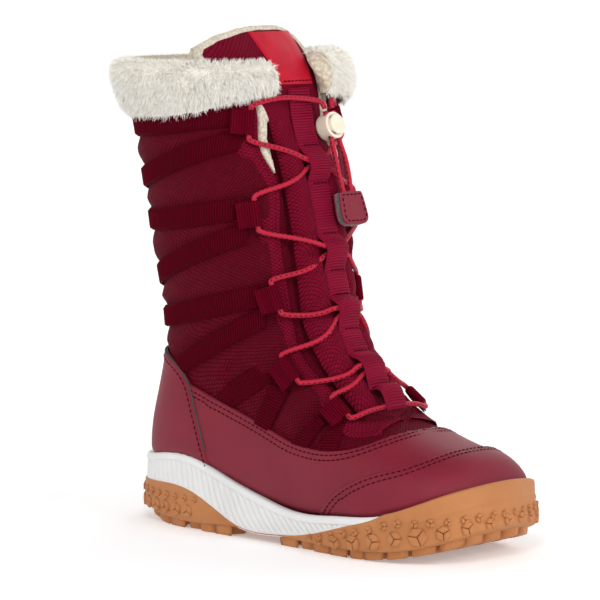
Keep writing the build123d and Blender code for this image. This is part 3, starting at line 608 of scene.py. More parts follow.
def moulded(name, light, dark, roughness, grain_scale=1.6, depth=0.05, **sockets):
    """Moulded rubber, foam or plastic: faint clouds of colour and a fine skin texture."""
    shader = Shader(name, light, roughness, **sockets)
    where = shader.millimetres()
    cloud = shader.noise(where, 0.05, 4.0, 0.6)
    skin = shader.noise(where, grain_scale, 3.0, 0.6)
    shader.color(shader.mix(shader.ramp(cloud, 0.3, 0.7, 0.0, 0.6), light, dark))
    shader.roughness(shader.ramp(skin, 0.25, 0.75, roughness - 0.06, roughness + 0.08))
    shader.bump(skin, depth, 0.5)
    return shader.material


def pile(name, root, tip, scale, depth):
    """Fleece or felt: curled, matted pile, with painted shade: the root colour fills the dips between the
    curls.
    """
    shader = Shader(name, tip, 0.95, Sheen_Weight=0.4, Sheen_Roughness=0.6, Sheen_Tint=(1, 0.96, 0.88, 1),
                    Specular_IOR_Level=0.15)
    where = shader.millimetres()
    curls = shader.node("TexVoronoi", {"feature": "SMOOTH_F1"}, Vector=where, Scale=scale, Smoothness=0.6)
    fine = shader.noise(where, scale * 4, 4.0, 0.7)
    height = shader.math("ADD", shader.math("SUBTRACT", 1.0, curls.outputs["Distance"]),
                         shader.math("MULTIPLY", fine, 0.6))
    # painted shade: root colour in the dips between the curls, tip colour on their tops
    shader.color(shader.mix(shader.ramp(height, 0.6, 1.25), root, tip))
    shader.bump(height, depth, 0.9)
    return shader.material


def fur_material():
    """Hairs: tone runs from 0 at the root to 1 at the tip, with a little of it random per hair; the roots are
    painted darker, as shade beneath the hairs over them.
    """
    shader = Shader("fur_hair", (0.86, 0.81, 0.73), 0.62, Sheen_Weight=0.3, Sheen_Roughness=0.5,
                    Specular_IOR_Level=0.25, Transmission_Weight=0.0, Subsurface_Weight=0.0)
    tone = shader.node("Attribute", {"attribute_name": "tone"}).outputs["Fac"]
    patches = shader.noise(shader.millimetres(), 0.09, 3.0, 0.6)
    # painted shade: darker towards the roots, where the hairs shade each other
    base = shader.mix(shader.ramp(tone, 0.0, 0.8), (0.93, 0.89, 0.80), (0.99, 0.98, 0.95))
    shader.color(shader.mix(shader.ramp(patches, 0.35, 0.7, 0.0, 0.25), base, (0.93, 0.86, 0.72)))
    return shader.material


def cord_material():
    """Braided elastic: u is the length along the cord, v the share round it, with rows of dark flecks and
    painted shade in the braid's grooves.
    """
    shader = Shader("elastic_cord", (0.52, 0.022, 0.07), 0.55, Sheen_Weight=0.05, Sheen_Roughness=0.4,
                    Specular_IOR_Level=0.15)
    _, u, v = shader.uv()
    first = shader.math("ADD", shader.math("MULTIPLY", u, 2 * math.pi / 1.1),
                        shader.math("MULTIPLY", v, 2 * math.pi * 4))
    second = shader.math("SUBTRACT", shader.math("MULTIPLY", u, 2 * math.pi / 1.1),
                         shader.math("MULTIPLY", v, 2 * math.pi * 4))
    braid = shader.math("ADD", shader.math("MULTIPLY", shader.math("SINE", first), 0.25),
                        shader.math("MULTIPLY", shader.math("SINE", second), 0.25))
    braid = shader.math("ADD", braid, 0.5)
    dash = shader.math("SINE", shader.math("MULTIPLY", u, 2 * math.pi / 2.6))
    row = shader.math("COSINE", shader.math("MULTIPLY", v, 2 * math.pi * 3))
    fleck = shader.math("MULTIPLY", shader.ramp(dash, 0.05, 0.35), shader.ramp(row, 0.62, 0.84))
    # painted shade: darker in the grooves of the braid, lighter on its crowns; the dark flecks below are the
    # cord's own pattern
    base = shader.mix(braid, (0.30, 0.006, 0.022), (0.58, 0.020, 0.052))
    shader.color(shader.mix(fleck, base, (0.035, 0.004, 0.012)))
    shader.bump(braid, 0.16, 0.8)
    return shader.material


def satin(name, light, dark):
    shader = Shader(name, light, 0.45, Sheen_Weight=0.05, Sheen_Roughness=0.3, Specular_IOR_Level=0.15,
                    Anisotropic=0.4)
    _, u, v = shader.uv()
    fine = shader.math("ABSOLUTE", shader.math("SINE", shader.math("MULTIPLY", v, math.pi / 0.35)))
    warp = shader.math("ABSOLUTE", shader.math("SINE", shader.math("MULTIPLY", u, math.pi / 0.5)))
    height = shader.math("ADD", shader.math("MULTIPLY", fine, 0.6), shader.math("MULTIPLY", warp, 0.4))
    cloud = shader.noise(shader.millimetres(), 0.12, 3.0)
    base = shader.mix(shader.ramp(cloud, 0.3, 0.7), light, dark)
    # painted highlight: the raised threads are mixed towards the light colour, over the random cloud tone
    shader.color(shader.mix(shader.math("MULTIPLY", height, 0.35), base, light))
    shader.bump(height, 0.05, 0.6)
    return shader.material


# The dark colour of each woven and grosgrain material, and the root colour of each pile, is painted shade for
# the dips of its weave, ribs or curls.
OXFORD = woven("oxford_shaft", (0.215, 0.003, 0.020), (0.034, 0.0003, 0.003), 1.35, 0.62,
               sheen=0.05, depth=0.7)
OXFORD_TONGUE = woven("oxford_tongue", (0.330, 0.005, 0.036), (0.060, 0.0006, 0.006), 1.3, 0.6,
                      sheen=0.05, depth=0.7)
STRAP_TAPE = grosgrain("grosgrain_strap", (0.115, 0.0004, 0.008), (0.016, 0.0001, 0.002), 0.7)
LOOP_TAPE = grosgrain("grosgrain_loop", (0.170, 0.0008, 0.013), (0.024, 0.0002, 0.003), 0.7)
WEBBING_TAPE = grosgrain("grosgrain_tongue", (0.290, 0.008, 0.038), (0.085, 0.0015, 0.010), 0.5)
LEATHER = leather("coated_leather", (0.205, 0.014, 0.030), (0.160, 0.009, 0.021), 0.5)
LEATHER_TAB = leather("coated_leather_tab", (0.215, 0.018, 0.036), (0.165, 0.012, 0.027), 0.5)
THREAD = moulded("thread", (0.070, 0.001, 0.008), (0.040, 0.0005, 0.004), 0.7, 4.0, 0.05,
                Specular_IOR_Level=0.05)
CUT_EDGE = moulded("cut_edge", (0.065, 0.045, 0.05), (0.03, 0.02, 0.024), 0.8, 3.0, 0.12)
FOAM = moulded("eva_foam", (0.76, 0.76, 0.755), (0.68, 0.68, 0.675), 0.62, 1.3, 0.06, Specular_IOR_Level=0.3)
GUM = moulded("gum_rubber", (0.48, 0.195, 0.070), (0.38, 0.140, 0.047), 0.55, 1.1, 0.07,
              Specular_IOR_Level=0.22)
FLEECE = pile("fleece_pile", (0.60, 0.50, 0.38), (0.86, 0.80, 0.68), 0.75, 0.8)
SHERPA = pile("fleece_sherpa", (0.52, 0.42, 0.30), (0.84, 0.76, 0.62), 0.45, 1.2)
FELT = pile("felt_core", (0.05, 0.045, 0.05), (0.13, 0.12, 0.125), 1.2, 0.3)
LOCK_PLASTIC = moulded("lock_plastic", (0.80, 0.72, 0.58), (0.74, 0.65, 0.50), 0.4, 1.0, 0.02,
                       Coat_Weight=0.08, Coat_Roughness=0.3)
FUR_BASE = pile("fur_base", (0.90, 0.84, 0.74), (0.98, 0.96, 0.92), 0.9, 0.8)
FUR_HAIR = fur_material()
ELASTIC = cord_material()
LABEL_SATIN = satin("label_satin", (0.50, 0.006, 0.026), (0.38, 0.004, 0.018))
STEEL = moulded("spring_steel", (0.6, 0.6, 0.62), (0.5, 0.5, 0.52), 0.3, 2.0, 0.01, Metallic=1.0)
BOARD = moulded("fibre_board", (0.62, 0.52, 0.38), (0.5, 0.4, 0.28), 0.9, 0.8, 0.2)
STIFF = moulded("stiffener_sheet", (0.80, 0.77, 0.70), (0.7, 0.66, 0.58), 0.85, 0.8, 0.1)


# ---------------------------------------------------------------- lines that several pieces share
def outer_line(points, side=-1, smooth=True, step=1.0):
    """A side-view line laid on the form, as points in space."""
    s, th = locate(through(points, step, smooth))
    return surf(s, th if side < 0 else -th)


rim_low = through([(x, z - 5) for x, z in RIM], 1.5)
EDGE_LINES = [MUDGUARD_EDGE, HEEL_SEAM, FUR_EDGE[1:-1], THROAT]
strap_middles = {name: [(x, z + STRAP_WIDTH / 2) for x, z in line] for name, line in WRAP_STRAPS.items()}


def pinned_relief(side):
    """How far the padded fabric stands out between the straps and seams that hold it down."""
    lines = [outer_line(line, side=side, step=2.5) for line in EDGE_LINES]
    straps = [outer_line(line, side=side, step=2.5) for line in strap_middles.values()]
    for corners in SHORT_STRAPS.values():
        a, b, c, d = np.array(corners, float)
        straps.append(outer_line([(a + b) / 2, (c + d) / 2], side=side, smooth=False, step=2.5))

    covered = [np.vstack([through(MUDGUARD_EDGE), [(150, 60), (150, -20), (-53, -20)]]),
               np.vstack([through(HEEL_SEAM), [(-37, -20), (-150, -20), (-150, 91)]])]

    def relief(points, _):
        under = inside(points[:, ::2], covered[0]) | inside(points[:, ::2], covered[1])
        seams = np.min([distance_to_line(points, line) for line in lines], axis=0)
        bands = np.min([distance_to_line(points, line) for line in straps], axis=0)
        held = smooth_ramp(seams, 0.5, 9) * smooth_ramp(bands, STRAP_WIDTH / 2 - 1.0, STRAP_WIDTH / 2 + 6.5)
        crease = 1 - smooth_ramp(np.abs(bands - STRAP_WIDTH / 2 - 0.4), 0, 1.6)
        ripple = waves(points * (1, 1, 1.6), 15, 11) * 0.4 * held
        raised = 1.6 * held - 0.45 * crease * smooth_ramp(seams, 0, 4) + ripple - 0.35 * (1 - held)
        return np.where(under, -0.5 - 0.6 * smooth_ramp(seams, 0, 3), raised)

    return relief


# ---------------------------------------------------------------- camera, light and floor
def add_camera():
    camera = bpy.data.cameras.new("camera")
    camera.lens = 208.0
    camera.sensor_width = 36.0
    holder = bpy.data.objects.new("camera", camera)
    bpy.context.scene.collection.objects.link(holder)
    azimuth, elevation = math.radians(42.0), math.radians(6.0)
    back = Vector((math.sin(azimuth) * math.cos(elevation), -math.cos(azimuth) * math.cos(elevation),
                   math.sin(elevation)))
    right = Vector((math.cos(azimuth), math.sin(azimuth), 0))
    up = back.cross(right)
    target = Vector((9, 0, 124)) - right * 16.4 - up * 6.4
    holder.location = (target + back * 1700) * MM
    holder.rotation_mode = "QUATERNION"
    holder.rotation_quaternion = back.to_track_quat("Z", "Y")
    camera.clip_start, camera.clip_end = 0.05, 50
    bpy.context.scene.camera = holder


def add_light(name, place, size, energy):
    lamp = bpy.data.lights.new(name, "AREA")
    lamp.shape = "DISK"
    lamp.size = size
    lamp.energy = energy
    holder = bpy.data.objects.new(name, lamp)
    holder.location = place
    holder.rotation_mode = "QUATERNION"
    holder.rotation_quaternion = (Vector(place) - Vector((0, 0, 0.12))).to_track_quat("Z", "Y")
    bpy.context.scene.collection.objects.link(holder)


add_camera()
add_light("key", (0.8, -1.0, 1.3), 0.7, 7.5)
add_light("side", (1.4, 0.0, 0.7), 0.6, 5)
add_light("fill", (-1.3, -0.9, 0.5), 1.2, 0.2)
add_light("rim", (-0.4, 1.3, 0.9), 0.8, 2.4)
world = bpy.data.worlds.new("studio")
world.use_nodes = True
world.node_tree.nodes["Background"].inputs["Color"].default_value = (1, 1, 1, 1)
world.node_tree.nodes["Background"].inputs["Strength"].default_value = 0.13
bpy.context.scene.world = world
bpy.context.scene.view_settings.view_transform = "Standard"


def add_floor():
    """Pale floor that curves up into a backdrop all round."""
    radii = np.array([0, 200, 600, 1200, 2200, 3400, 4000, 4400, 4700, 4900, 5000, 5000])
    heights = np.array([0, 0, 0, 0, 0, 0, 40, 160, 400, 800, 1400, 6000])
    turn = np.linspace(0, 2 * np.pi, 96, endpoint=False)
    points = np.stack([radii[:, None] * np.cos(turn), radii[:, None] * np.sin(turn),
                       heights[:, None] + 0 * turn], -1).reshape(-1, 3)
    faces = grid_faces(len(radii), len(turn), wrap_columns=True)
    mesh = build_mesh("studio_floor", points, faces)
    floor = bpy.data.objects.new("studio_floor", mesh)
    bpy.context.scene.collection.objects.link(floor)
    paper = Shader("floor_paper", (0.9, 0.9, 0.9), 0.9, Emission_Color=(1, 1, 1, 1))
    where = paper.millimetres()
    distance = paper.node("VectorMath", {"operation": "LENGTH"}, i0=where).outputs["Value"]
    glow = paper.ramp(distance, 250.0, 2000.0, 0.27, 0.38)
    paper.tree.links.new(glow, paper.bsdf.inputs["Emission Strength"])
    paper.bump(paper.noise(where, 0.1, 3.0), 0.02, 0.5)
    mesh.materials.append(paper.material)


add_floor()

# ---------------------------------------------------------------- textile of the shaft and the vamp
def add_patch(name, outline, t_low, t_top, material, slot, nodes=(), **options):
    return add_piece(name, build_mesh(name, *patch(outline, t_low, t_top, **options)), material, nodes)


shaft_top = [(-24, 226), (-140, 226)]
rim_back = [point for point in rim_low if point[0] < 20]
for side, word in ((-1, "right"), (1, "left")):
    edge = np.vstack([through(THROAT[::-1]), through(shaft_top, 2, False), [(-112.5, 220)]])
    s, th = locate(edge)
    th[-1] = np.pi
    # down the back seam, then forward along the sole's rim and up the vamp's seam
    back_s = np.linspace(s[-1], locate([(-112, 28)])[0][0], 110)
    rim_s, rim_th = locate(rim_back)
    seam_s, seam_th = locate(through([(20, 14), (30, 52), (40, 66)], 2, False))
    s = np.concatenate([s[:-1], back_s, rim_s, seam_s])
    th = np.concatenate([th[:-1], np.full(len(back_s), np.pi), rim_th, seam_th])
    outline = np.stack([s, th if side < 0 else -th], 1)
    add_patch("quarter_" + word, outline, -0.9, 0.0, OXFORD, "oxford_fabric", ["quarter_" + word],
              spacing=1.5, lip=0.8, relief=pinned_relief(side))

vamp_front = through([(36, 72), (40, 66), (30, 52), (20, 12)], 1.5, False)
rim_front = [point for point in rim_low if 20 < point[0] < 109]
add_patch("vamp", joined_outline(np.vstack([[(52, 66)], vamp_front[4:], rim_front, [(113, 30)]]), "front"),
          -1.0, -0.3, OXFORD, "oxford_fabric", ["vamp"], spacing=2.0, lip=0.8)


# ---------------------------------------------------------------- leather overlays
def leather_relief(amount, seed):
    """Gentle waves, and the edge drawn in where it stands down inside the rim of the sole."""
    rim_line = through(RIM)

    def relief(points, distance):
        above_rim = points[:, 2] - np.interp(points[:, 0], *rim_line.T)
        drawn_in = 1.9 * (1 - smooth_ramp(above_rim, -0.5, 3.0))
        return waves(points, 38, seed) * amount * smooth_ramp(distance, 1, 8) - drawn_in
    return relief


mudguard_line = np.vstack([through(MUDGUARD_EDGE[::-1]),
                           through([(-56.5, 76), (-55, 66), (-52, 54), (-49, 42), (-44, 26)])])
rim_mid = np.array([point for point in rim_low if point[0] > -38])
add_patch("mudguard",
          joined_outline(np.vstack([mudguard_line, rim_mid[rim_mid[:, 0] < 110], [(113, 31)]]), "front"),
          -0.1, 1.3, LEATHER, "coated_leather", ["mudguard"], spacing=1.7, lip=0.7,
          relief=leather_relief(0.25, 21))

rim_heel = rim_low[rim_low[:, 0] < -35][::-1]
add_patch("heel_panel", joined_outline(np.vstack([[(-99, 91)], through(HEEL_SEAM), rim_heel]), "back"),
          0.3, 1.9, LEATHER, "coated_leather", ["heel_panel"], spacing=1.7, lip=0.9,
          relief=leather_relief(0.3, 22))

rim_toe = np.array([point for point in rim_low if 31 < point[0] < 110])
cap_line = through(TOE_CAP_EDGE[::-1])
front_height = np.interp(cap_line[:, 0], *through(RIBS[::-1, 0:2]).T)
cap_line = cap_line[cap_line[:, 1] < front_height - 0.6]
cap_start = (cap_line[0][0] + 2.5, float(np.interp(cap_line[0][0] + 2.5, *through(RIBS[::-1, 0:2]).T)))
add_patch("toe_cap", joined_outline(np.vstack([[cap_start], cap_line, rim_toe, [(113, 31)]]), "front"),
          1.0, 2.5, LEATHER, "coated_leather", ["toe_cap"], spacing=1.7, lip=0.8,
          relief=leather_relief(0.25, 23))


# ---------------------------------------------------------------- straps
def strap_strip(lower, upper, base, thickness, rib_height, pitch=1.35, across=9, back=True, side=-1,
                dip=None):
    """Ribbed tape between two side-view lines, right round the back or on one side only."""
    lower, upper = through(lower, 0.27), through(upper, 0.27)
    count = max(len(lower), len(upper))
    pick_low = np.linspace(0, len(lower) - 1, count).astype(int)
    pick_up = np.linspace(0, len(upper) - 1, count).astype(int)
    low_s, low_th = locate(lower[pick_low])
    up_s, up_th = locate(upper[pick_up])
    if back:
        on_leg = low_th < np.pi - 1e-3
        low_s, low_th, up_s, up_th = low_s[on_leg], low_th[on_leg], up_s[on_leg], up_th[on_leg]
        reach = max(int((np.pi - low_th[0]) * GIRTH / 0.27), 2)
        share = np.linspace(0, 1, reach, endpoint=False)
        low_s = np.concatenate([np.full(reach, low_s[0]), low_s])
        up_s = np.concatenate([np.full(reach, up_s[0]), up_s])
        low_th = np.concatenate([np.pi + (low_th[0] - np.pi) * share, low_th])
        up_th = np.concatenate([np.pi + (up_th[0] - np.pi) * share, up_th])
        low_s, up_s = np.concatenate([low_s[::-1], low_s[1:]]), np.concatenate([up_s[::-1], up_s[1:]])
        low_th = np.concatenate([low_th[::-1], 2 * np.pi - low_th[1:]])
        up_th = np.concatenate([up_th[::-1], 2 * np.pi - up_th[1:]])
    elif side > 0:
        low_th, up_th = -low_th, -up_th
    share = np.linspace(0, 1, across)[None, :]
    s = low_s[:, None] * (1 - share) + up_s[:, None] * share
    th = low_th[:, None] * (1 - share) + up_th[:, None] * share
    middle = surf(s[:, across // 2], th[:, across // 2])
    along = run_lengths(middle)
    edge = np.minimum(share, 1 - share) * STRAP_WIDTH
    rounded = rounded_edge(edge, 0.55)
    ribs = 0.5 + 0.5 * np.cos(2 * np.pi * along / pitch)
    ribs = ribs[:, None] * smooth_ramp(edge, 0.5, 1.2)
    ends = np.clip(np.minimum(along, along[-1] - along) / 0.4, 0, 1)[:, None]
    t = base + (thickness * rounded + rib_height * ribs) * np.sqrt(ends)
    if dip is not None:
        t = t + dip(surf(s, th))
    points = surf(s, th, t)
    uv = np.stack(np.broadcast_arrays(along[:, None], share * STRAP_WIDTH), -1).reshape(-1, 2)
    faces = grid_faces(*s.shape)
    flat = points.reshape(-1, 3)
    return flat, facing(flat, faces, normals(s, th).reshape(-1, 3)), uv


def sag(points):
    """Straps ride a little on the padding beneath them."""
    return 0.35 + 0.3 * waves(points, 30, 31)


for name, line in WRAP_STRAPS.items():
    upper = [(x, z + STRAP_WIDTH) for x, z in line]
    if name == "strap_ankle_lower":
        parts = [strap_strip(line, upper, 0.0, 1.0, 0.42, back=False, side=side, dip=sag) for side in (-1, 1)]
    else:
        parts = [strap_strip(line, upper, 0.0, 1.0, 0.42, dip=sag)]
    gathered = Gatherer()
    for part in parts:
        gathered.add(*part)
    add_piece(name, gathered.mesh(name), STRAP_TAPE, [name])

for name, corners in SHORT_STRAPS.items():
    a, b, c, d = np.array(corners, float)
    for side, word in ((-1, "right"), (1, "left")):
        piece = name + "_" + word
        if name.startswith("vamp") or name == "instep_strap_front":
            edges = [a, d + (d - a) * 0.1], [b, c + (c - b) * 0.1]
        else:
            edges = [a - (b - a) * 0.02, b], [d - (c - d) * 0.02, c]
        gathered = Gatherer()
        gathered.add(*strap_strip(*edges, 0.1, 1.0, 0.4, back=False, side=side, dip=sag))
        add_piece(piece, gathered.mesh(piece), STRAP_TAPE, [piece])

# ---------------------------------------------------------------- tape along the throat
TAPE_WIDTH = 6.5
for side, word in ((-1, "right"), (1, "left")):
    line = np.array([point for point in through(THROAT, 0.5) if point[1] < 228])
    step = np.gradient(line, axis=0)
    step = unit(step)
    back_line = line + np.stack([step[:, 1], -step[:, 0]], 1) * TAPE_WIDTH
    share = np.linspace(0, 1, 9)[None, :]
    low_s, low_th = locate(line)
    up_s, up_th = locate(back_line)
    s = low_s[:, None] * (1 - share) + up_s[:, None] * share
    th = low_th[:, None] * (1 - share) + up_th[:, None] * share
    edge = np.minimum(share, 1 - share) * TAPE_WIDTH
    t = 1.15 * rounded_edge(edge, 0.7) + np.zeros_like(s)
    t = t - 1.2 * (share < 0.06)
    if side > 0:
        th = -th
    flat = surf(s, th, t).reshape(-1, 3)
    uv = np.stack(np.broadcast_arrays(run_lengths(surf(s[:, 4], th[:, 4]))[:, None], share * TAPE_WIDTH), -1)
    faces = facing(flat, grid_faces(*s.shape), normals(s, th).reshape(-1, 3))
    piece = "facing_tape_" + word
    mesh = build_mesh(piece, flat, faces, uv.reshape(-1, 2))
    add_piece(piece, mesh, OXFORD_TONGUE, [piece])

# ---------------------------------------------------------------- tongue
def tongue_half(z, y):
    """Half width of the tongue at a height: it flares round the leg on the outer side (y positive)."""
    heights = (196, 205, 215, 228, 235, 240, 244.5, 248, 249.2)
    outer = np.interp(z, heights, (18.5, 19.0, 25.0, 38.0, 42.0, 39.5, 31.0, 18.0, 8.0))
    inner = np.interp(z, heights, (18.5, 18.5, 18.5, 18.8, 19.0, 18.8, 17.5, 13.5, 8.0))
    return np.where(np.asarray(y) > 0, outer, inner)


FRONT_Z = TABLE[:, 1]


def front_s(z):
    return np.interp(z, FRONT_Z, S)


def front_point(z, y, t):
    """Point on the front of the boot; y is positive on the outer side."""
    s = front_s(z)
    return surf(s, front_th(s, y, t), t)


def tongue_relief(z, y, half):
    """Puffed channels either side of the webbing, pinched where the lace pulls across."""
    side = np.abs(y) / half
    channel = np.sin(np.pi * np.clip((side - 0.30) / 0.70, 0, 1)) * smooth_ramp(side, 0.28, 0.45)
    pinch = np.zeros_like(z)
    for crossing in CROSSINGS[1:] + [BAR_CROSSING]:
        slant = crossing + 4.5 * (side - 0.3)
        pinch = np.maximum(pinch, np.exp(-((z - slant) / 2.6) ** 2))
    for bars in WEBBING_BARS[1:]:
        for bar in bars:
            pinch = np.maximum(pinch, 0.45 * np.exp(-((z - bar - 3 * (side - 0.3)) / 1.8) ** 2))
    low = 1 - smooth_ramp(z, 186, 199)
    return channel * (0.2 + 2.8 * low) * (1 - 0.75 * pinch * low) - 0.5 * pinch * low


def add_tongue():
    rows, columns = 330, 61
    z = np.linspace(TONGUE_TOP, TONGUE_END, rows)
    q = np.sin(np.linspace(-1, 1, columns) * np.pi / 2 * 0.96) / math.sin(math.pi / 2 * 0.96)
    half = tongue_half(z[:, None], q[None, :])
    y = q[None, :] * half
    height = np.broadcast_to(z[:, None], y.shape)
    edge = (1 - np.abs(q))[None, :] * half
    rim = rounded_edge(edge, 3.0)
    where = front_point(height, y, 0.0)
    t = -1.2 + 2.5 * rim + tongue_relief(height, y, half) + 0.35 * waves(where, 16, 41) * rim
    t -= 1.0 * np.exp(-((height - LOCK_CENTRE[2] + 3) / 9) ** 2 - ((y + LOCK_CENTRE[1]) / 8) ** 2)
    tucked = 1 - smooth_ramp(height, 62.0, 74.0)
    t = t * (1 - tucked) - 2.6 * tucked
    points = front_point(height, y, t)
    uv = np.stack([-y, height], -1).reshape(-1, 2)
    flat = points.reshape(-1, 3)
    outward = np.tile((1.0, 0, 0.3), (len(flat), 1))
    faces = facing(flat, grid_faces(rows, columns), outward)
    tongue = add_piece("tongue", build_mesh("tongue", flat, faces, uv), OXFORD_TONGUE,
                       ["tongue"])
    back = front_point(height, y, -5.0)[::4, ::3]
    flat = back.reshape(-1, 3)
    faces = facing(flat, grid_faces(*back.shape[:2]), -np.tile((1.0, 0, 0.3), (len(flat), 1)))
    add_piece("tongue_fleece", build_mesh("tongue_fleece", flat, faces, flat[:, :2]), FLEECE)


add_tongue()


def add_binding():
    """Fleece edge round the top of the tongue: a soft roll from one side over the top to the other."""
    z = np.concatenate([np.linspace(204, TONGUE_TOP - 1, 60), [TONGUE_TOP + 0.2]])
    y = np.concatenate([tongue_half(z, 1), -tongue_half(z, -1)[::-1]])
    height = np.concatenate([z, z[::-1]])
    line = through(np.stack([height, y], 1), 0.8, False)
    height, y = line.T
    path = front_point(height, y, -1.9)
    kernel = np.ones(5) / 5
    for axis in range(3):
        path[:, axis] = np.convolve(np.pad(path[:, axis], 2, "edge"), kernel, "valid")
    up = front_point(height, y, 0.0) - front_point(height, y, -4.0)
    _, across, beside = frames_along(path, up)
    angle = np.linspace(0, 2 * np.pi, 15)
    from_start = np.arange(len(path))
    thick = 3.0 * np.sqrt(np.clip(np.minimum(from_start, from_start[::-1]) / 6.0, 0.02, 1))
    ring = (np.cos(angle)[None, :, None] * across[:, None] * thick[:, None, None]
            + np.sin(angle)[None, :, None] * beside[:, None] * 1.9 * (thick / 3.0)[:, None, None])
    points = path[:, None] + ring
    points = points + (waves(points, 4.5, 51) * 0.28)[..., None] * ring / 3
    add_piece("tongue_binding", build_mesh("tongue_binding", points.reshape(-1, 3),
                                           grid_faces(len(path), 15)), FLEECE, ["tongue_binding"])


add_binding()


def add_label():
    rows, columns = 60, 40
    z = np.linspace(248.4, 222.5, rows)[:, None] + np.zeros((1, columns))
    half = 12 + 3.0 * (z - 222.5) / 26
    q = np.linspace(-1, 1, columns)[None, :]
    y = q * half
    edge = np.minimum((1 - np.abs(q)) * half, z - 222.5)
    hem = np.exp(-((z - 224.6) / 0.5) ** 2) + np.exp(-(((1 - np.abs(q)) * half - 1.2) / 0.3) ** 2) * 0.5
    t = 1.5 + 0.7 * np.sqrt(np.clip(edge / 0.5, 0, 1)) - 0.25 * hem
    where = front_point(z, y, 2.0)
    t = t + 0.25 * waves(where, 20, 61)
    points = front_point(z, y, t + tongue_relief(z, y, tongue_half(z, y))).reshape(-1, 3)
    faces = facing(points, grid_faces(rows, columns), np.tile((1.0, 0, 0.3), (len(points), 1)))
    uv = np.stack([-y, z], -1).reshape(-1, 2)
    add_piece("tongue_label", build_mesh("tongue_label", points, faces, uv), LABEL_SATIN,
              ["tongue_label"])


add_label()


# ---------------------------------------------------------------- webbing down the tongue
def webbing_height(z):
    """Height of the webbing's inner face above the form: flat at its bars, arched over the lace."""
    t = np.full_like(z, 2.0)
    for crossing, (above, below) in zip(CROSSINGS, WEBBING_BARS):
        share = np.where(z > crossing, (above - z) / (above - crossing), (z - below) / (crossing - below))
        bow = np.clip(share, 0, 1)
        t += 5.0 * np.where((z < above) & (z > below), np.sin(bow * np.pi / 2) ** 1.5, 0)
    t += 5.0 * np.sin(np.clip((74.5 - z) / 8.9, 0, 1) * np.pi)
    return t


def add_webbing():
    z = np.linspace(WEBBING_TOP, WEBBING_BOTTOM, 900)
    t = webbing_height(z)
    centre = front_point(z, np.zeros_like(z), t)
    along = run_lengths(centre)
    q = np.linspace(-1, 1, 21)
    y = q[None, :] * WEBBING_WIDTH / 2
    edge = (1 - np.abs(q))[None, :] * WEBBING_WIDTH / 2
    rounded = rounded_edge(edge, 0.6)
    ribs = (0.5 + 0.5 * np.cos(2 * np.pi * along / 1.5))[:, None] * smooth_ramp(edge, 0.4, 1.4)
    bars = np.zeros_like(z)
    for pair in WEBBING_BARS:
        for bar in pair:
            bars += np.exp(-((z - bar) / 0.9) ** 2)
    cup = 0.8 * (1 - q[None, :] ** 2)
    lift = t[:, None] - 2.0
    top = t[:, None] + 1.25 * rounded + 0.45 * ribs - 0.6 * bars[:, None] + cup * np.clip(lift / 5, 0, 1)
    height = np.broadcast_to(z[:, None], top.shape)
    upper = front_point(height, np.broadcast_to(y, top.shape), top)
    under = front_point(height, np.broadcast_to(y, top.shape), t[:, None] + cup * np.clip(lift / 5, 0, 1))
    gathered = Gatherer()
    uv = np.stack(np.broadcast_arrays(along[:, None], y + WEBBING_WIDTH / 2), -1)
    outward = np.tile((1.0, 0, 0.3), (upper.size // 3, 1))
    gathered.add_sheet(upper, outward, uv)
    gathered.add_sheet(under, -outward, uv)
    for end in (0, -1):
        strip = np.stack([upper[end], under[end]]).reshape(-1, 3)
        gathered.add(strip, grid_faces(2, 21), np.zeros((42, 2)))
    add_piece("tongue_webbing", gathered.mesh("tongue_webbing"), WEBBING_TAPE, ["tongue_webbing"])


add_webbing()

# ---------------------------------------------------------------- gussets: the folds beside the tongue
for side, word in ((-1, "right"), (1, "left")):
    line = np.array([point for point in through(THROAT[::-1], 1.0) if point[1] < 232 and point[0] < 46])
    s, th = locate(line)
    tongue_th = np.abs(front_th(s, np.full_like(s, 16.0), -1.0))
    share = np.linspace(-0.12, 1.0, 26)[None, :]
    ss = np.repeat(s[:, None], 26, 1)
    tt = th[:, None] * (1 - share) + tongue_th[:, None] * share
    fold = np.sin(np.clip(share, 0, 1) * np.pi * 2.0) * 0.9
    t = -1.6 - 2.2 * np.sin(np.clip(share, 0, 1) * np.pi) + fold
    if side > 0:
        tt = -tt
    t = t + 0.3 * waves(surf(ss, tt), 12, 71)
    points = surf(ss, tt, t)
    uv = np.stack([tt * GIRTH, ss], -1).reshape(-1, 2)
    flat = points.reshape(-1, 3)
    piece = "gusset_" + word
    faces = facing(flat, grid_faces(*ss.shape), normals(ss, tt).reshape(-1, 3))
    add_piece(piece, build_mesh(piece, flat, faces, uv), OXFORD, [piece])


# ---------------------------------------------------------------- lace loops
def loop_ends(index, side):
    return [np.array((x, side * y, z)) for x, y, z in LOOPS[index]]


def loop_frame(index, side):
    """Bottom of the cord's tunnel, its direction upwards, outwards and back towards the strap."""
    top, bottom = loop_ends(index, side)
    along = (top - bottom) / np.linalg.norm(top - bottom)
    middle = (top + bottom) / 2
    s, th = locate([(middle[0], middle[2])], 3.6)
    outward = normals(s, th if side < 0 else -th, 3.6)[0]
    outward -= along * outward.dot(along)
    outward = unit(outward)
    backward = np.cross(along, outward)
    if backward[0] > 0:
        backward = -backward
    return bottom, top, along, outward, backward


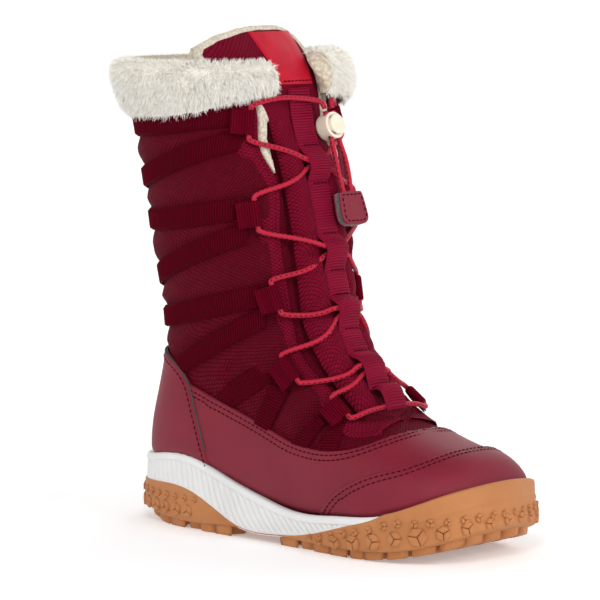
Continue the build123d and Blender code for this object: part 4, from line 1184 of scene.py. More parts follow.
for side, word in ((-1, "right"), (1, "left")):
    for index in range(len(LOOPS)):
        bottom, top, along, outward, backward = loop_frame(index, side)
        length = np.linalg.norm(top - bottom)
        # profile: (backwards, outwards), from the tail's end, under the cord, round it and back over it
        turn = np.linspace(-math.pi / 2, -math.pi * 1.5, 28)
        eye = np.stack([np.cos(turn) * LOOP_RADIUS, np.sin(turn) * LOOP_RADIUS], 1)
        blend_back = np.array([(2.0, 1.75), (3.4, 0.75), (4.8, 0.0), (6.2, -0.45), (LOOP_TAIL, -0.6)])
        profile = np.vstack([[(LOOP_TAIL, -LOOP_RADIUS)], eye, blend_back])
        profile = through(profile, 0.22, False)
        steps = run_lengths(profile)
        direction = np.gradient(profile, axis=0)
        direction = unit(direction)
        out_normal = np.stack([-direction[:, 1], direction[:, 0]], 1)
        if (out_normal[len(profile) // 2] * profile[len(profile) // 2]).sum() < 0:
            out_normal = -out_normal
        ribs = 0.22 * np.cos(2 * np.pi * steps / 1.25)
        ribs[steps < LOOP_TAIL - 1] = 0
        outer = profile + out_normal * ribs[:, None]
        count = 15
        share = np.linspace(0, 1, count)
        edge = np.minimum(share, 1 - share) * length
        shrink = 0.45 * (1 - rounded_edge(edge, 0.5))
        gathered = Gatherer()
        for layer, direction_sign in ((outer, 1), (profile - out_normal * 0.7, -1)):
            grid = (layer[None] - out_normal[None] * (shrink * direction_sign)[:, None, None])
            points = (bottom + share[:, None, None] * length * along + grid[..., :1] * backward
                      + grid[..., 1:] * outward)
            uv = np.stack(np.broadcast_arrays(steps[None, :], (share * length)[:, None]), -1)
            away = (out_normal[None, :, :1] * backward + out_normal[None, :, 1:] * outward) * direction_sign
            gathered.add_sheet(points, np.broadcast_to(away, points.shape), uv)
        piece = f"lace_loop_{word}_{index + 1}"
        add_piece(piece, gathered.mesh(piece), LOOP_TAPE, [piece])

# ---------------------------------------------------------------- fleece bootie inside
def add_lining():
    """Fleece wall inside the leg, left open at the front where the tongue is."""
    rows, columns = 66, 91
    z = np.linspace(95, 235, rows)[:, None]
    front = front_th(front_s(z[:, 0]), np.interp(z[:, 0], (178, 186), (32.0, 20.5)), -3.0)[:, None]
    th = front + (2 * np.pi - 2 * front) * np.linspace(0, 1, columns)[None, :]
    s = s_at_height(th, np.broadcast_to(z, th.shape), -3.0)
    gathered = Gatherer()
    for depth, sign in ((-2.0, 1), (-5.6, -1)):
        points = surf(s, th, depth + 0.35 * waves(surf(s, th), 6, 81))
        gathered.add_sheet(points, normals(s, th) * sign)
    add_piece("lining", gathered.mesh("lining"), FLEECE, ["lining"])


add_lining()


def add_footbed():
    """Loose fleece insole on the board: a soft pad with rounded edges."""
    rows, columns = 120, 31
    x = np.linspace(-96, 100, rows)
    floor = np.interp(x, *np.array(RIM, float).T) - 4.9
    s, th = locate(np.stack([x, floor + 2.0], 1), -6.5)
    outer, inner = surf(s, th, -6.8)[:, 1], surf(s, -th, -6.8)[:, 1]
    share = np.linspace(0, 1, columns)[None, :]
    y = outer[:, None] * (1 - share) + inner[:, None] * share
    edge = np.minimum(np.abs(y - outer[:, None]), np.abs(inner[:, None] - y))
    rounded = rounded_edge(edge, 3)
    gathered = Gatherer()
    for height, sign in ((2.2 + 2.0 * rounded, 1), (2.2 - 2.0 * rounded, -1)):
        points = np.stack([np.broadcast_to(x[:, None], y.shape), y, floor[:, None] + height], -1)
        gathered.add_sheet(points, np.tile((0, 0, sign), (points.size // 3, 1)))
    footbed = add_piece("footbed", gathered.mesh("footbed"), FLEECE, ["footbed"])


add_footbed()


# ---------------------------------------------------------------- sole
def closed_through(points, step):
    """Points at about a step's distance round a smooth closed line, without its first point again."""
    points = np.asarray(points, float)
    around = np.vstack([points[-3:], points, points[:4]])
    lengths = run_lengths(around)
    start, end = lengths[3], lengths[3 + len(points)]
    at = np.linspace(start, end, int((end - start) / step), endpoint=False)
    return natural_spline(lengths, around, at)


OUTLINE = closed_through([SOLE_BACK, *SOLE_OUTER, SOLE_FRONT, *SOLE_INNER], 0.75)
run = np.roll(OUTLINE, -1, axis=0) - np.roll(OUTLINE, 1, axis=0)
run = unit(run)
OUTWARD = np.stack([run[:, 1], -run[:, 0]], 1)
ALONG_SOLE = run_lengths(np.vstack([OUTLINE, OUTLINE[:1]]))[:-1]
RIM_LINE, WRAP_LINE, FLOOR_LINE = through(RIM), through(WRAP), through(PLATE_FLOOR)
INSET_HEIGHTS = np.linspace(0, 42, 60)
INSETS = natural_spline(np.array(SOLE_INSETS)[:, 0], np.array(SOLE_INSETS)[:, 1:], INSET_HEIGHTS)[:, 0]


def wall(height, out):
    """Points of the sole's side wall at one height and distance outwards for each point of the outline."""
    inset = np.interp(height, INSET_HEIGHTS, INSETS)
    return np.column_stack([OUTLINE + OUTWARD * (out - inset)[:, None], height])


def edge_heights():
    x = OUTLINE[:, 0]
    floor = np.interp(x, *FLOOR_LINE.T)
    rim = np.interp(x, *RIM_LINE.T)
    wrap = np.minimum(np.interp(x, *WRAP_LINE.T), rim + 0.6)
    return floor, wrap, rim


FLOOR, WRAPPED, RIM_HEIGHT = edge_heights()


def sole_wall(rows):
    """Side wall from rows of (heights, distances outwards), closed round the sole."""
    flat = np.vstack([wall(height, out) for height, out in rows])
    outward = np.tile(np.column_stack([OUTWARD, np.zeros(len(OUTWARD))]), (len(rows), 1))
    return flat, facing(flat, grid_faces(len(rows), len(OUTLINE), wrap_columns=True), outward)


def add_midsole():
    """White foam: a smooth lip along the top and slanted grooves below it."""
    low = WRAPPED - 1.2
    x = OUTLINE[:, 0]
    lean = np.interp(x, (-110, -60, 0, 60), (0.1, 0.25, 0.9, 1.3))
    rows = []
    for share in np.linspace(0, 1, 40):
        height = low + (RIM_HEIGHT - low) * share
        below_lip = smooth_ramp(RIM_HEIGHT - height, 3.3, 4.1)
        above_rubber = smooth_ramp(height - WRAPPED, 0.3, 1.2)
        phase = (ALONG_SOLE + lean * height) / 4.8
        groove = np.exp(-(((phase % 1) - 0.5) / 0.1) ** 2)
        lip = 0.45 * (1 - below_lip)
        round_top = 1.0 * np.clip(1 - (RIM_HEIGHT - height) / 1.4, 0, 1) ** 2
        rows.append((height, -0.35 + lip - 1.1 * groove * below_lip * above_rubber - round_top))
    for inwards, drop in ((1.9, 0.05), (3.2, 0.15), (5.5, 1.0)):
        rows.append((RIM_HEIGHT - drop, np.full(len(x), -inwards)))
    flat, faces = sole_wall(rows)
    add_piece("midsole", build_mesh("midsole", flat, faces), FOAM, ["midsole"])


add_midsole()


def stud(gathered, corners, centre, rise_at):
    """Six-sided stud parted by a Y groove into three bevelled pieces.

    rise_at(share) is the direction of its height."""
    for first in (0, 2, 4):
        piece = np.stack([centre, corners[first], corners[(first + 1) % 6], corners[(first + 2) % 6]])
        middle = piece.mean(0)
        rings = []
        for share, level in ((1.0, -0.3), (0.9, 0.6), (0.82, 0.92), (0.68, 1.0), (0.0, 1.0)):
            rings.append(middle + (piece - middle) * share + rise_at(level))
        points = np.vstack(rings)
        gathered.add(points, facing(points, grid_faces(5, 4, wrap_columns=True), points - middle))


def wall_stud(gathered, index, height, radius, rise, turn):
    """A stud on the side wall of the rubber."""
    place, across, upwards, outward = wall_frame(index, height)
    angle = np.arange(6) * np.pi / 3 + turn
    corners = place + (np.cos(angle)[:, None] * across + np.sin(angle)[:, None] * upwards) * radius
    stud(gathered, corners, place, lambda level: outward * rise * level)


def wall_frame(index, height):
    outward = np.array((*OUTWARD[index], 0.0))
    across = np.array((-OUTWARD[index][1], OUTWARD[index][0], 0.0))
    place = wall(np.full(len(OUTLINE), height), np.zeros(len(OUTLINE)))[index]
    return place, across, np.array((0, 0, 1.0)), outward


def side_studs(gathered):
    """Rows of small and large studs up the side of the rubber at the heel and the forefoot."""
    x = OUTLINE[:, 0]
    source = np.random.default_rng(91)
    heel_rows = [(16.0, 7.4, 1.9), (9.8, 9.2, 3.7)]
    fore_rows = [(0.70, 8.0, 2.1), (0.34, 12.0, 4.4)]
    total = ALONG_SOLE[-1]
    for row, (height, pitch, radius) in enumerate(heel_rows):
        for along in np.arange(pitch * 0.5 * row, total, pitch):
            index = np.searchsorted(ALONG_SOLE, along) % len(x)
            if x[index] < -46 - 4 * row:
                size = radius * source.uniform(0.85, 1.1)
                wall_stud(gathered, index, height, size, 1.3, 0.5 * np.pi)
    for share, pitch, radius in fore_rows:
        for along in np.arange(pitch / 2, total, pitch):
            index = np.searchsorted(ALONG_SOLE, along) % len(x)
            top = min(WRAPPED[index], 26)
            if x[index] > 12 and top - FLOOR[index] > 5:
                room = top - FLOOR[index]
                size = min(radius * source.uniform(0.8, 1.15), 0.32 * room)
                wall_stud(gathered, index, FLOOR[index] + share * room, size, 1.6, source.uniform(0, 1.0))


LUG_PITCH, LUG_RADIUS = 15.5, 6.2


def lugs(gathered):
    """Hexagonal lugs under the sole, cut off at the outline and rising at the heel and the toe."""
    border = OUTLINE - OUTWARD * 3.4
    tree = np.vstack([border, border[:1]])
    for column in range(19):
        for row in range(8):
            x = (column - 9) * LUG_PITCH * 0.75
            y = (row + (0.5 if column % 2 == 0 else 1.0) - 4.25) * LUG_PITCH * math.sqrt(3) / 2
            angle = np.arange(6) * np.pi / 3
            corners = np.stack([x + LUG_RADIUS * np.cos(angle), y + LUG_RADIUS * np.sin(angle)], 1)
            within = inside(corners, tree)
            if not within.any() or ARCH_SPAN[0] - 3 < x < ARCH_SPAN[1] + 3:
                continue
            for k in np.flatnonzero(~within):
                corners[k] = border[np.linalg.norm(border - corners[k], axis=1).argmin()]
            centre = corners.mean(0)
            tip = np.interp(corners[:, 0], *np.array(LUG_TIPS, float).T)
            root = np.interp(corners[:, 0], *FLOOR_LINE.T) + 1.2
            rings = []
            for share, level in ((1.06, 0.0), (1.0, 0.75), (0.92, 1.0), (0.0, 1.0)):
                plan = centre + (corners - centre) * share
                height = root + (tip - root) * level
                if share == 0.0:
                    height = np.full(6, np.mean(tip))
                rings.append(np.concatenate([plan, np.maximum(height, 0.02)[:, None]], 1))
            gathered.add(np.vstack(rings), grid_faces(4, 6, wrap_columns=True)[:, ::-1])


def add_outsole():
    """Gum rubber: the wall, its rounded top edge, the floor between the lugs, lugs and side studs."""
    x = OUTLINE[:, 0]
    top = WRAPPED
    arch = smooth_ramp(x, -50, -26) * (1 - smooth_ramp(x, -8, 6))
    rows = [(top - 1.6, np.full(len(x), -3.0)), (top - 0.2, np.full(len(x), -2.0)),
            (top - 0.05, np.full(len(x), -1.0)), (top - 0.4, np.full(len(x), 0.1))]
    low = FLOOR + 0.3
    for share in np.linspace(0.0, 1, 30):
        height = (top - 1.0) * (1 - share) + low * share
        foot = np.clip(1 - (height - low) / 1.2, 0, 1) ** 2
        ridge = np.exp(-((height - (FLOOR + 0.62 * (top - FLOOR))) / 0.9) ** 2) * smooth_ramp(x, 84, 96)
        rows.append((height, 0.35 - 1.2 * arch * smooth_ramp(share, 0.05, 0.3) - foot + 0.45 * ridge))
    for inwards in (2.6, 6.0, 14.0, 22.0, 30.0):
        rows.append((FLOOR, np.full(len(x), -inwards)))
    flat, faces = sole_wall(rows)
    under = flat[-len(x) * 5:].reshape(5, len(x), 3)
    for ring in under[2:]:
        ring[:, 1] = np.where(np.sign(ring[:, 1]) == np.sign(OUTLINE[:, 1]), ring[:, 1], 0.0)
    for ring in under:
        ring[:, 0] = np.clip(ring[:, 0], -108, 112)
        ring[:, 2] = np.interp(ring[:, 0], *FLOOR_LINE.T)
    under[-1, :, 1] = 0
    gathered = Gatherer()
    gathered.add(flat, faces)
    side_studs(gathered)
    lugs(gathered)
    add_piece("outsole", gathered.mesh("outsole"), GUM, ["outsole"])


add_outsole()


# ---------------------------------------------------------------- lace
def spline_line(points):
    """Closely spaced points along the smooth NURBS line that a route's points control, in millimetres."""
    curve = bpy.data.curves.new("route", "CURVE")
    curve.dimensions = "3D"
    curve.resolution_u = 14
    spline = curve.splines.new("NURBS")
    spline.points.add(len(points) - 1)
    for point, place in zip(spline.points, points):
        point.co = (*(np.asarray(place, float) * MM), 1)
    spline.order_u = 3
    spline.use_endpoint_u = True
    holder = bpy.data.objects.new("route", curve)
    bpy.context.scene.collection.objects.link(holder)
    mesh = bpy.data.meshes.new_from_object(holder)
    line = np.array([tuple(vertex.co) for vertex in mesh.vertices]) / MM
    bpy.data.objects.remove(holder)
    bpy.data.meshes.remove(mesh)
    return line


SWING_PIVOT = LOCK_CENTRE - CORD_DOWN * PIVOT_ABOVE_LOCK
LACE_REST, CROSS_LOW, CROSS_HIGH = 3.6, 3.2, 5.9
LEAD_RIGHT = [(-9.0, 6.0, 215.0), (-10.0, -5.0, 216.2), (-12.8, -16.0, 216.8)]
LEAD_LEFT = [(-11.5, 22.0, 215.0)]
LEAD_RISE, PIVOT_GAP, LOOP_SPARE = 4.7, 1.35, 3.0


def tail_start(side):
    return SWING_PIVOT + np.array((0, side * TAIL_SPACING / 2, 0))


def on_front(height, z, y):
    """Point over the front of the boot; y positive is the inner side, as in the frame."""
    return front_point(z, -y, height)


def strand(side):
    """One half of the lace, from its upper loop down to its bottom loop."""
    points = []
    for index in range(len(LOOPS)):
        top, bottom = loop_ends(index, side)
        spare = (top - bottom) / np.linalg.norm(top - bottom) * LOOP_SPARE
        points += [top + spare, top, bottom, bottom - spare]
        if index + 1 < len(LOOPS):
            middle = CROSSINGS[index]
            height = CROSS_LOW if side > 0 else CROSS_HIGH
            following = loop_ends(index + 1, -side)[0]
            points += [on_front(LACE_REST, middle + 0.5 * (bottom[2] - middle), side * 16),
                       on_front(height, middle + 1.6, side * 7),
                       on_front(height, middle - 1.6, -side * 7),
                       on_front(LACE_REST, middle + 0.5 * (following[2] - middle), -side * 16)]
        side = -side
    return points


def add_lace():
    bar = [on_front(LACE_REST, BAR_CROSSING - 0.4, y) for y in (-15, 15)]
    route = [tail_start(-1) - CORD_DOWN * PIVOT_GAP, tail_start(-1) - CORD_DOWN * LEAD_RISE, *LEAD_RIGHT,
             *strand(-1), *bar, *reversed(strand(1)), *LEAD_LEFT,
             tail_start(1) - CORD_DOWN * LEAD_RISE, tail_start(1) - CORD_DOWN * PIVOT_GAP]
    points, faces, uv = tube(spline_line(route), CORD / 2, 14)
    add_piece("lace", build_mesh("lace", points, faces, uv), ELASTIC, ["lace"])


add_lace()


# ---------------------------------------------------------------- pull tab and cord lock
def tab_place(across, down, out):
    """Point of the pull tab: across the boot, down the cords from the lock, and out from their plane."""
    return (LOCK_CENTRE + np.asarray(across)[..., None] * np.array((0, 1.0, 0))
            + np.asarray(down)[..., None] * CORD_DOWN + np.asarray(out)[..., None] * BUTTON_OUT)


def tab_outline(inset=0.0):
    """Outline of the pull tab (across, down): narrower and tighter at the top, rounded at the bottom."""
    corners = [(-8.25, 34, 1.5), (8.25, 34, 1.5), (10, 50.5, 6), (-10, 50.5, 6)]
    points = []
    for index, (x, y, radius) in enumerate(corners):
        before = np.array(corners[index - 1][:2], float)
        after = np.array(corners[(index + 1) % 4][:2], float)
        corner = np.array((x, y), float)
        to_before = (before - corner) / np.linalg.norm(before - corner)
        to_after = (after - corner) / np.linalg.norm(after - corner)
        first, last = corner + to_before * radius, corner + to_after * radius
        for share in np.linspace(0, 1, 14):
            points.append((1 - share) ** 2 * first + 2 * share * (1 - share) * corner + share ** 2 * last)
    outline = closed_through(points[::2], 0.5)
    centre = outline.mean(0)
    reach = np.linalg.norm(outline - centre, axis=1, keepdims=True)
    return outline - (outline - centre) / reach * inset


def tab_slab(low, high, edge):
    """Closed slab of the tab with rounded edges on its outer face; edge is how far they are rounded."""
    sign = 1 if high > low else -1
    rings = []
    for inset, out in ((3.0, low), (0.0, low), (0.0, high - sign * edge),
                       (0.3 * edge, high - 0.3 * sign * edge), (edge, high),
                       (3.0, high + sign * 0.1), (5.5, high + sign * 0.1)):
        outline = tab_outline(inset)
        rings.append(tab_place(outline[:, 0], outline[:, 1], np.full(len(outline), out)))
    for out in (low, high + sign * 0.1):
        outline = tab_outline(0)
        middle = outline.mean(0)
        rings.append(np.repeat(tab_place([middle[0]], [middle[1]], [out]), len(outline), 0))
    rings = [rings[-2], *rings[:-2], rings[-1]]
    points = np.vstack(rings)
    faces = grid_faces(len(rings), len(rings[0]), wrap_columns=True)
    return points, facing(points, faces, (points - points.mean(0)))


def stitches(gathered, line, outward, length=2.1, gap=0.75, radius=0.36):
    """Short rounded stitches, half sunk, along a line of points."""
    lengths = run_lengths(line)
    start = gap
    while start + length < lengths[-1]:
        at = start + length * np.array((0.0, 0.12, 0.5, 0.88, 1.0))
        spot = np.stack([np.interp(at, lengths, line[:, k]) for k in range(3)], 1)
        up = np.stack([np.interp(at, lengths, outward[:, k]) for k in range(3)], 1)
        swell = np.array((0.15, 0.75, 1.0, 0.75, 0.15)) * radius
        run_way = spot[-1] - spot[0]
        beside = np.cross(run_way / np.linalg.norm(run_way), up)
        angle = np.linspace(0, 2 * np.pi, 7)[:-1]
        ring = (spot[:, None] + (np.cos(angle)[None, :, None] * beside[:, None]
                                 + np.sin(angle)[None, :, None] * up[:, None]) * swell[:, None, None])
        faces = grid_faces(5, 6, wrap_columns=True)
        flat = ring.reshape(-1, 3)
        gathered.add(flat, facing(flat, faces, flat - np.repeat(spot, 6, 0)))
        start += length + gap


def add_pull_tab():
    front = build_mesh("pull_tab_front", *tab_slab(1.37, 2.37, 0.5))
    back = build_mesh("pull_tab_back", *tab_slab(-1.37, -2.37, 0.5))
    core = build_mesh("pull_tab_core", *tab_slab(-1.33, 1.33, 0.1))
    pieces = [add_piece("pull_tab_front", front, LEATHER_TAB, ["pull_tab_front"], LACE_END),
              add_piece("pull_tab_back", back, LEATHER_TAB, ["pull_tab_back"], LACE_END),
              add_piece("pull_tab_core", core, FELT, ["pull_tab_core"], LACE_END)]
    gathered = Gatherer()
    outline = tab_outline(1.9)
    outline = np.vstack([outline, outline[:1]])
    for face in (2.56, -2.56):
        line = tab_place(outline[:, 0], outline[:, 1], np.full(len(outline), face))
        stitches(gathered, line, np.tile(BUTTON_OUT * np.sign(face), (len(line), 1)), 2.0, 0.9, 0.36)
    pieces.append(add_piece("pull_tab_stitches", gathered.mesh("pull_tab_stitches"), THREAD,
                            body=LACE_END))
    return pieces


def add_tails(with_pieces):
    """The lace's two free ends, through the lock and down into the tab."""
    for side, word in ((-1, "right"), (1, "left")):
        start = tail_start(side)
        route = [start + CORD_DOWN * down + np.array((0, side * spread, 0)) + BUTTON_OUT * out
                 for down, spread, out in ((0, 0, 0), (7.5, 0, 0), (16, 0, 0), (24, 0.9, 0.7),
                                           (33, 0.8, 0.5), (41, 0, 0), (49.5, 0, 0))]
        line = spline_line(route)
        points, faces, uv = tube(line, CORD / 2, 14)
        name = "lace_tail_" + word
        tail = add_piece(name, build_mesh(name, points, faces, uv), ELASTIC, ["lace_tails"],
                         LACE_END)


add_tails(add_pull_tab())


def finish_node(name, material):
    """A better surface on a CAD piece that keeps its own shape."""
    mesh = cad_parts[name].data
    mesh.materials.clear()
    mesh.materials.append(material)


for name, material in (("cord_lock_body", LOCK_PLASTIC), ("cord_lock_button", LOCK_PLASTIC),
                       ("cord_lock_spring", STEEL), ("shank", STIFF), ("insole_board", BOARD),
                       ("heel_counter", STIFF), ("toe_puff", STIFF)):
    finish_node(name, material)


# ---------------------------------------------------------------- seams
SEAM_ROWS = (2.4, 4.9)      # how far the two rows of stitches stand from an edge of the leather
CAP_ROWS, GUARD_ROWS, HEEL_ROW = 2.58, 1.36, 1.98       # their heights on the form


def row_on_form(gathered, line, t, side, **options):
    """A row of stitches along a side-view line, at a height on the form."""
    s, th = locate(line)
    th = th if side < 0 else -th
    stitches(gathered, surf(s, th, t), normals(s, th, t), **options)


def beside_line(line, distance, low=-200.0):
    """A side-view line moved to its left by a distance, kept where x is over low."""
    line = through(line, 0.5)
    step = np.gradient(line, axis=0)
    step = unit(step)
    moved = line + np.stack([-step[:, 1], step[:, 0]], 1) * distance
    return moved[moved[:, 0] > low]


def shifted_on_form(s, th, t, distance):
    """s and th of a line on the form, moved to its left along the surface."""
    line = surf(s, th, t)
    run = np.gradient(line, axis=0)
    run = unit(run)
    across = np.cross(normals(s, th, t), run) * distance
    by_s = (surf(s + 0.5, th, t) - line) / 0.5
    by_th = (surf(s, th + 0.01, t) - line) / 0.01
    ss, tt, st = (by_s ** 2).sum(1), (by_th ** 2).sum(1), (by_s * by_th).sum(1)
    rs, rt = (by_s * across).sum(1), (by_th * across).sum(1)
    ground = ss * tt - st ** 2
    return s + (rs * tt - rt * st) / ground, th + (rt * ss - rs * st) / ground


def rows_over_toe(gathered, edge, t):
    """Two rows beside an edge, each in one run from the right side over the toe to the left."""
    s, th = locate(through(edge, 0.6))
    s, th = s[th > 0.04], th[th > 0.04]
    s, th = np.concatenate([s, s[::-1]]), np.concatenate([th, -th[::-1]])
    for inset in SEAM_ROWS:
        row_s, row_th = shifted_on_form(s, th, t, -inset)
        kept = np.isfinite(row_s) & np.isfinite(row_th) & (np.abs(row_th) < 2.6)
        row_s, row_th = row_s[kept], row_th[kept]
        stitches(gathered, surf(row_s, row_th, t), normals(row_s, row_th, t))


def add_seams():
    leather_rows, tape_rows, edges = Gatherer(), Gatherer(), Gatherer()
    tape = [point for point in THROAT if point[1] < 215]
    for side in (-1, 1):
        for inset in (1.3, 5.2):
            row_on_form(tape_rows, beside_line(tape, -inset), 1.12, side, length=1.8, gap=0.7, radius=0.22)
        row_on_form(leather_rows, beside_line(HEEL_SEAM, -2.6, low=-95), HEEL_ROW, side)
        s, th = locate(through([point for point in HEEL_SEAM if point[1] > 30], 0.8))
        path = surf(s, th if side < 0 else -th, 1.35)
        edges.add(*tube(path, 0.55, 8))
    rows_over_toe(leather_rows, TOE_CAP_EDGE[1:], CAP_ROWS)
    rows_over_toe(leather_rows, MUDGUARD_EDGE + [(67, 62.5), (67.4, 65.5)], GUARD_ROWS)
    add_piece("leather_stitches", leather_rows.mesh("leather_stitches"), THREAD)
    add_piece("tape_stitches", tape_rows.mesh("tape_stitches"), THREAD)
    add_piece("heel_cut_edge", edges.mesh("heel_cut_edge"), CUT_EDGE)


add_seams()


def add_front_stitches():
    """Dark rows across the webbing at its bars, and along the hem of the label."""
    gathered = Gatherer()
    rows = [(bar, 6.2, webbing_height(np.array([bar]))[0] + 1.2) for pair in WEBBING_BARS for bar in pair]
    for z, half, height in rows + [(224.4, 11.6, 2.35)]:
        y = np.linspace(-half, half, 30)
        z = np.full_like(y, z)
        line = front_point(z, y, height)
        stitches(gathered, line, front_point(z, y, height + 1.0) - line, 1.9, 0.7, 0.36)
    add_piece("front_stitches", gathered.mesh("front_stitches"), THREAD)


add_front_stitches()


def add_notch_fleece():
    """Edge of the fleece bootie, showing between the front of each quarter and the tongue."""
    gathered = Gatherer()
    line = np.array([point for point in through(THROAT, 0.6) if 180 < point[1] < 230])
    reach = np.interp(line[:, 1], (180, 186, 200), (1.0, 4.2, 5.6))[:, None]
    share = np.linspace(0, 1, 15)[None, :]
    s, th = locate(line)
    span = np.abs(surf(s, th + 0.01, 0.0) - surf(s, th, 0.0))
    per_radian = np.linalg.norm(span, axis=1)[:, None] / 0.01
    for side in (-1, 1):
        angle = (th[:, None] - (reach * share - 0.8) / per_radian) * (1 if side < 0 else -1)
        along = np.repeat(s[:, None], share.size, 1)
        t = -1.6 + 2.9 * np.sqrt(np.clip(1 - (2 * share - 1) ** 2, 0, 1)) + np.zeros_like(along)
        t += 0.3 * waves(surf(along, angle), 3.0, 99)
        gathered.add_sheet(surf(along, angle, t), normals(along, angle))
    add_piece("lining_edge", gathered.mesh("lining_edge"), FLEECE)


add_notch_fleece()


# ---------------------------------------------------------------- fur cuff
FUR_THICKNESS, HAIRS = 8.2, 56000
FUR_GAP_OUTER, FUR_GAP_INNER = 17.0, 14.0
FUR_TOP, FUR_TOP_RISE = 233.2, 5.3
FUR_LIFT = 6.5             # how far the inner front end of the cuff stands off the tongue


def fur_profile(share, lifted):
    """Height (0 at the lower edge, 1 at the top) and t of the cuff's rolled section, outside to inside.

    lifted is 1 at the inner front end, where the inside is lined all the way down.
    """
    outside = np.clip(share / 0.62, 0, 1)
    over = np.clip((share - 0.62) / 0.23, 0, 1)
    down = np.clip((share - 0.85) / 0.15, 0, 1)
    crown = np.where(share < 0.85, 0.86 + 0.14 * np.sin(over * np.pi), 0.86)
    rise = np.where(share < 0.62, 0.86 * outside, crown)
    rise = rise - (0.45 + 0.4 * lifted) * down
    t = np.where(share < 0.62, 1.0 + (FUR_THICKNESS - 1.0) * np.sin(outside * np.pi / 2) ** 0.7,
                 FUR_THICKNESS - (FUR_THICKNESS + 2.2) * (1 - np.cos(over * np.pi)) / 2)
    return rise, t


def fur_grid(rows, columns):
    around = np.linspace(0, 1, columns)[None, :] + np.zeros((rows, 1))
    share = np.linspace(0, 1, rows)[:, None] + np.zeros((1, columns))
    return around, share


def fur_place(around, share):
    """th, height and t of the cuff at a share round it and across its roll."""
    outer_end = float(front_th(front_s(230.0), FUR_GAP_OUTER, 3.0))
    inner_end = 2 * np.pi - float(front_th(front_s(230.0), FUR_GAP_INNER, 3.0))
    th = outer_end + (inner_end - outer_end) * around
    middle = surf(s_at_230(th), th, 0.0)
    low = np.interp(middle[..., 0], *np.array(FUR_EDGE, float).T) + 0.8
    lifted = smooth_ramp(around, 0.86, 1.0)
    rise, t = fur_profile(share, lifted)
    top = FUR_TOP + FUR_TOP_RISE * smooth_ramp(around, 0.62, 0.88)
    height = low + (top - low) * rise
    t = t + FUR_LIFT * smooth_ramp(around, 0.66, 0.94)
    return th, height, t


HEIGHT_KNOTS = np.linspace(196, 242, 24)
TH_KNOTS = np.linspace(0, 2 * np.pi, 121)
S_GRID = np.stack([s_at_height(TH_KNOTS, np.full_like(TH_KNOTS, z)) for z in HEIGHT_KNOTS])


def s_near(th, height):
    """s of the form at th and a height round the cuff, read from a small grid."""
    th = np.clip(th, 0, 2 * np.pi - 1e-6)
    row = np.clip((height - HEIGHT_KNOTS[0]) / (HEIGHT_KNOTS[1] - HEIGHT_KNOTS[0]), 0, 22.999)
    column = th / TH_KNOTS[1]
    i, j = row.astype(int), column.astype(int)
    a, b = row - i, column - j
    return ((S_GRID[i, j] * (1 - b) + S_GRID[i, j + 1] * b) * (1 - a)
            + (S_GRID[i + 1, j] * (1 - b) + S_GRID[i + 1, j + 1] * b) * a)


def s_at_230(th):
    return s_near(th, np.full_like(th, 230.0))


def cuff_point(around, share):
    th, height, t = fur_place(around, share)
    return surf(s_near(th, height), th, t)


def add_cuff_ends():
    """Fleece that closes the two front ends of the cuff's roll, softly crowned."""
    gathered = Gatherer()
    half_rows, columns = 41, 17
    across = np.linspace(0, 1, columns)[None, :, None]
    for end, inside_cuff in ((0.0, 0.01), (1.0, 0.99)):
        share = np.linspace(0.02, 1, 2 * half_rows - 1)
        ring = cuff_point(np.full_like(share, end), share)
        out = ring - cuff_point(np.full_like(share, inside_cuff), share)
        out = unit(out)
        outside, inner = ring[:half_rows, None], ring[half_rows - 1:][::-1][:, None]
        way = out[:half_rows, None]
        sheet = outside * (1 - across) + inner * across
        width = np.linalg.norm(inner - outside, axis=2, keepdims=True)
        sheet = sheet + way * (np.sqrt(np.sin(np.pi * across) + 1e-9) * 0.3 * width)
        sheet += 0.25 * waves(sheet, 3.0, 97)[..., None] * way
        gathered.add_sheet(sheet, np.broadcast_to(way, sheet.shape))
    add_piece("cuff_end_fleece", gathered.mesh("cuff_end_fleece"), SHERPA)


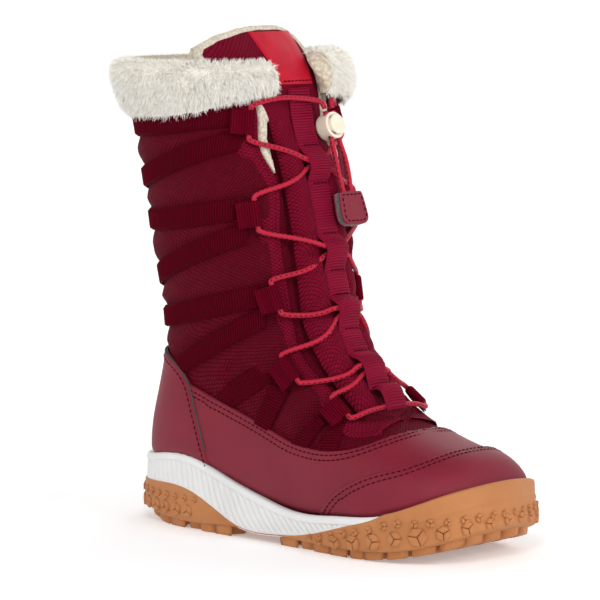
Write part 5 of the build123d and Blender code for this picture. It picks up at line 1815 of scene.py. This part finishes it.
def add_fur():
    around, share = fur_grid(40, 260)
    th, height, t = fur_place(around, share)
    base = surf(s_near(th, height), th, t)
    base = base + normals(s_near(th, height), th) * (0.7 * waves(base, 9, 95))[..., None]
    outward = base - surf(s_near(th, height), th, -12.0)
    flat = base.reshape(-1, 3)
    faces = facing(flat, grid_faces(40, 260), outward.reshape(-1, 3))
    add_piece("fur_cuff", build_mesh("fur_cuff", flat, faces, flat[:, :2]), FUR_BASE, ["fur_cuff"])
    add_cuff_ends()

    count, knots = HAIRS, 5
    around = rng.uniform(-0.004, 1.004, count)
    share = rng.uniform(0.0, 0.95, count) ** 0.85
    th, height, t = fur_place(np.clip(around, 0, 1), share)
    roots = surf(s_near(th, height), th, t - 0.8)
    above_th, above_height, above_t = fur_place(np.clip(around, 0, 1), np.clip(share + 0.02, 0, 1))
    beside_th, beside_height, beside_t = fur_place(np.clip(around + 0.004, 0, 1.004), share)
    upwards = surf(s_near(above_th, above_height), above_th, above_t - 0.8) - roots
    sideways = surf(s_near(beside_th, beside_height), beside_th, beside_t - 0.8) - roots
    upwards /= np.linalg.norm(upwards, axis=1, keepdims=True) + 1e-9
    sideways /= np.linalg.norm(sideways, axis=1, keepdims=True) + 1e-9
    outward = np.cross(sideways, upwards)
    centre = surf(s_near(th, np.full_like(th, 225.0)), th, -3.0)
    turned = ((roots - centre) * outward).sum(1) < 0
    outward[turned] *= -1
    clumps = rng.integers(0, count, 2600)
    lean = rng.normal(size=(len(clumps), 3)) * 0.32
    nearest = np.empty(count, int)
    for i in range(0, count, 2000):
        gap = ((roots[i:i + 2000, None] - roots[clumps][None]) ** 2).sum(-1)
        nearest[i:i + 2000] = gap.argmin(1)
    towards = roots[clumps][nearest] - roots
    length = rng.uniform(2.6, 4.4, count)
    length *= np.where(share < 0.12, 0.75, 1.0)
    length *= np.where((around > 0.86) & (share > 0.75), 0.55, 1.0)
    way = (outward * 0.62 - upwards * np.where(share < 0.6, 0.55, 0.1)[:, None] + lean[nearest] * 0.55
           + rng.normal(size=(count, 3)) * 0.16)
    way = unit(way)
    flat_side = np.cross(way, rng.normal(size=(count, 3)))
    flat_side /= np.linalg.norm(flat_side, axis=1, keepdims=True) + 1e-9
    along = np.linspace(0, 1, knots)
    curl = np.cross(way, flat_side) * rng.normal(size=(count, 1)) * 0.22 - np.array((0, 0, 0.25))
    spine = (roots[:, None] + way[:, None] * (length[:, None] * along)[..., None]
             + curl[:, None] * (length[:, None] * along ** 2)[..., None]
             + towards[:, None] * (0.5 * along ** 1.5)[None, :, None])
    width = 0.2 * (1 - 0.85 * along)
    left = spine - flat_side[:, None] * width[None, :, None]
    right = spine + flat_side[:, None] * width[None, :, None]
    points = np.stack([left, right], 2).reshape(-1, 3)
    start = np.arange(count)[:, None] * knots * 2
    step = np.arange(knots - 1)[None, :] * 2
    first = (start + step).ravel()
    faces = np.stack([first, first + 1, first + 3, first + 2], 1)
    # tone for the hair material's painted shade at the roots: 0 at the root, 1 at the tip, with a little
    # random per hair
    tone = np.clip(np.repeat(along, 2)[None, :] * 0.85 + rng.normal(size=(count, 1)) * 0.12, 0, 1).ravel()
    add_piece("fur_hair", build_mesh("fur_hair", points, faces, None, tone), FUR_HAIR)


add_fur()
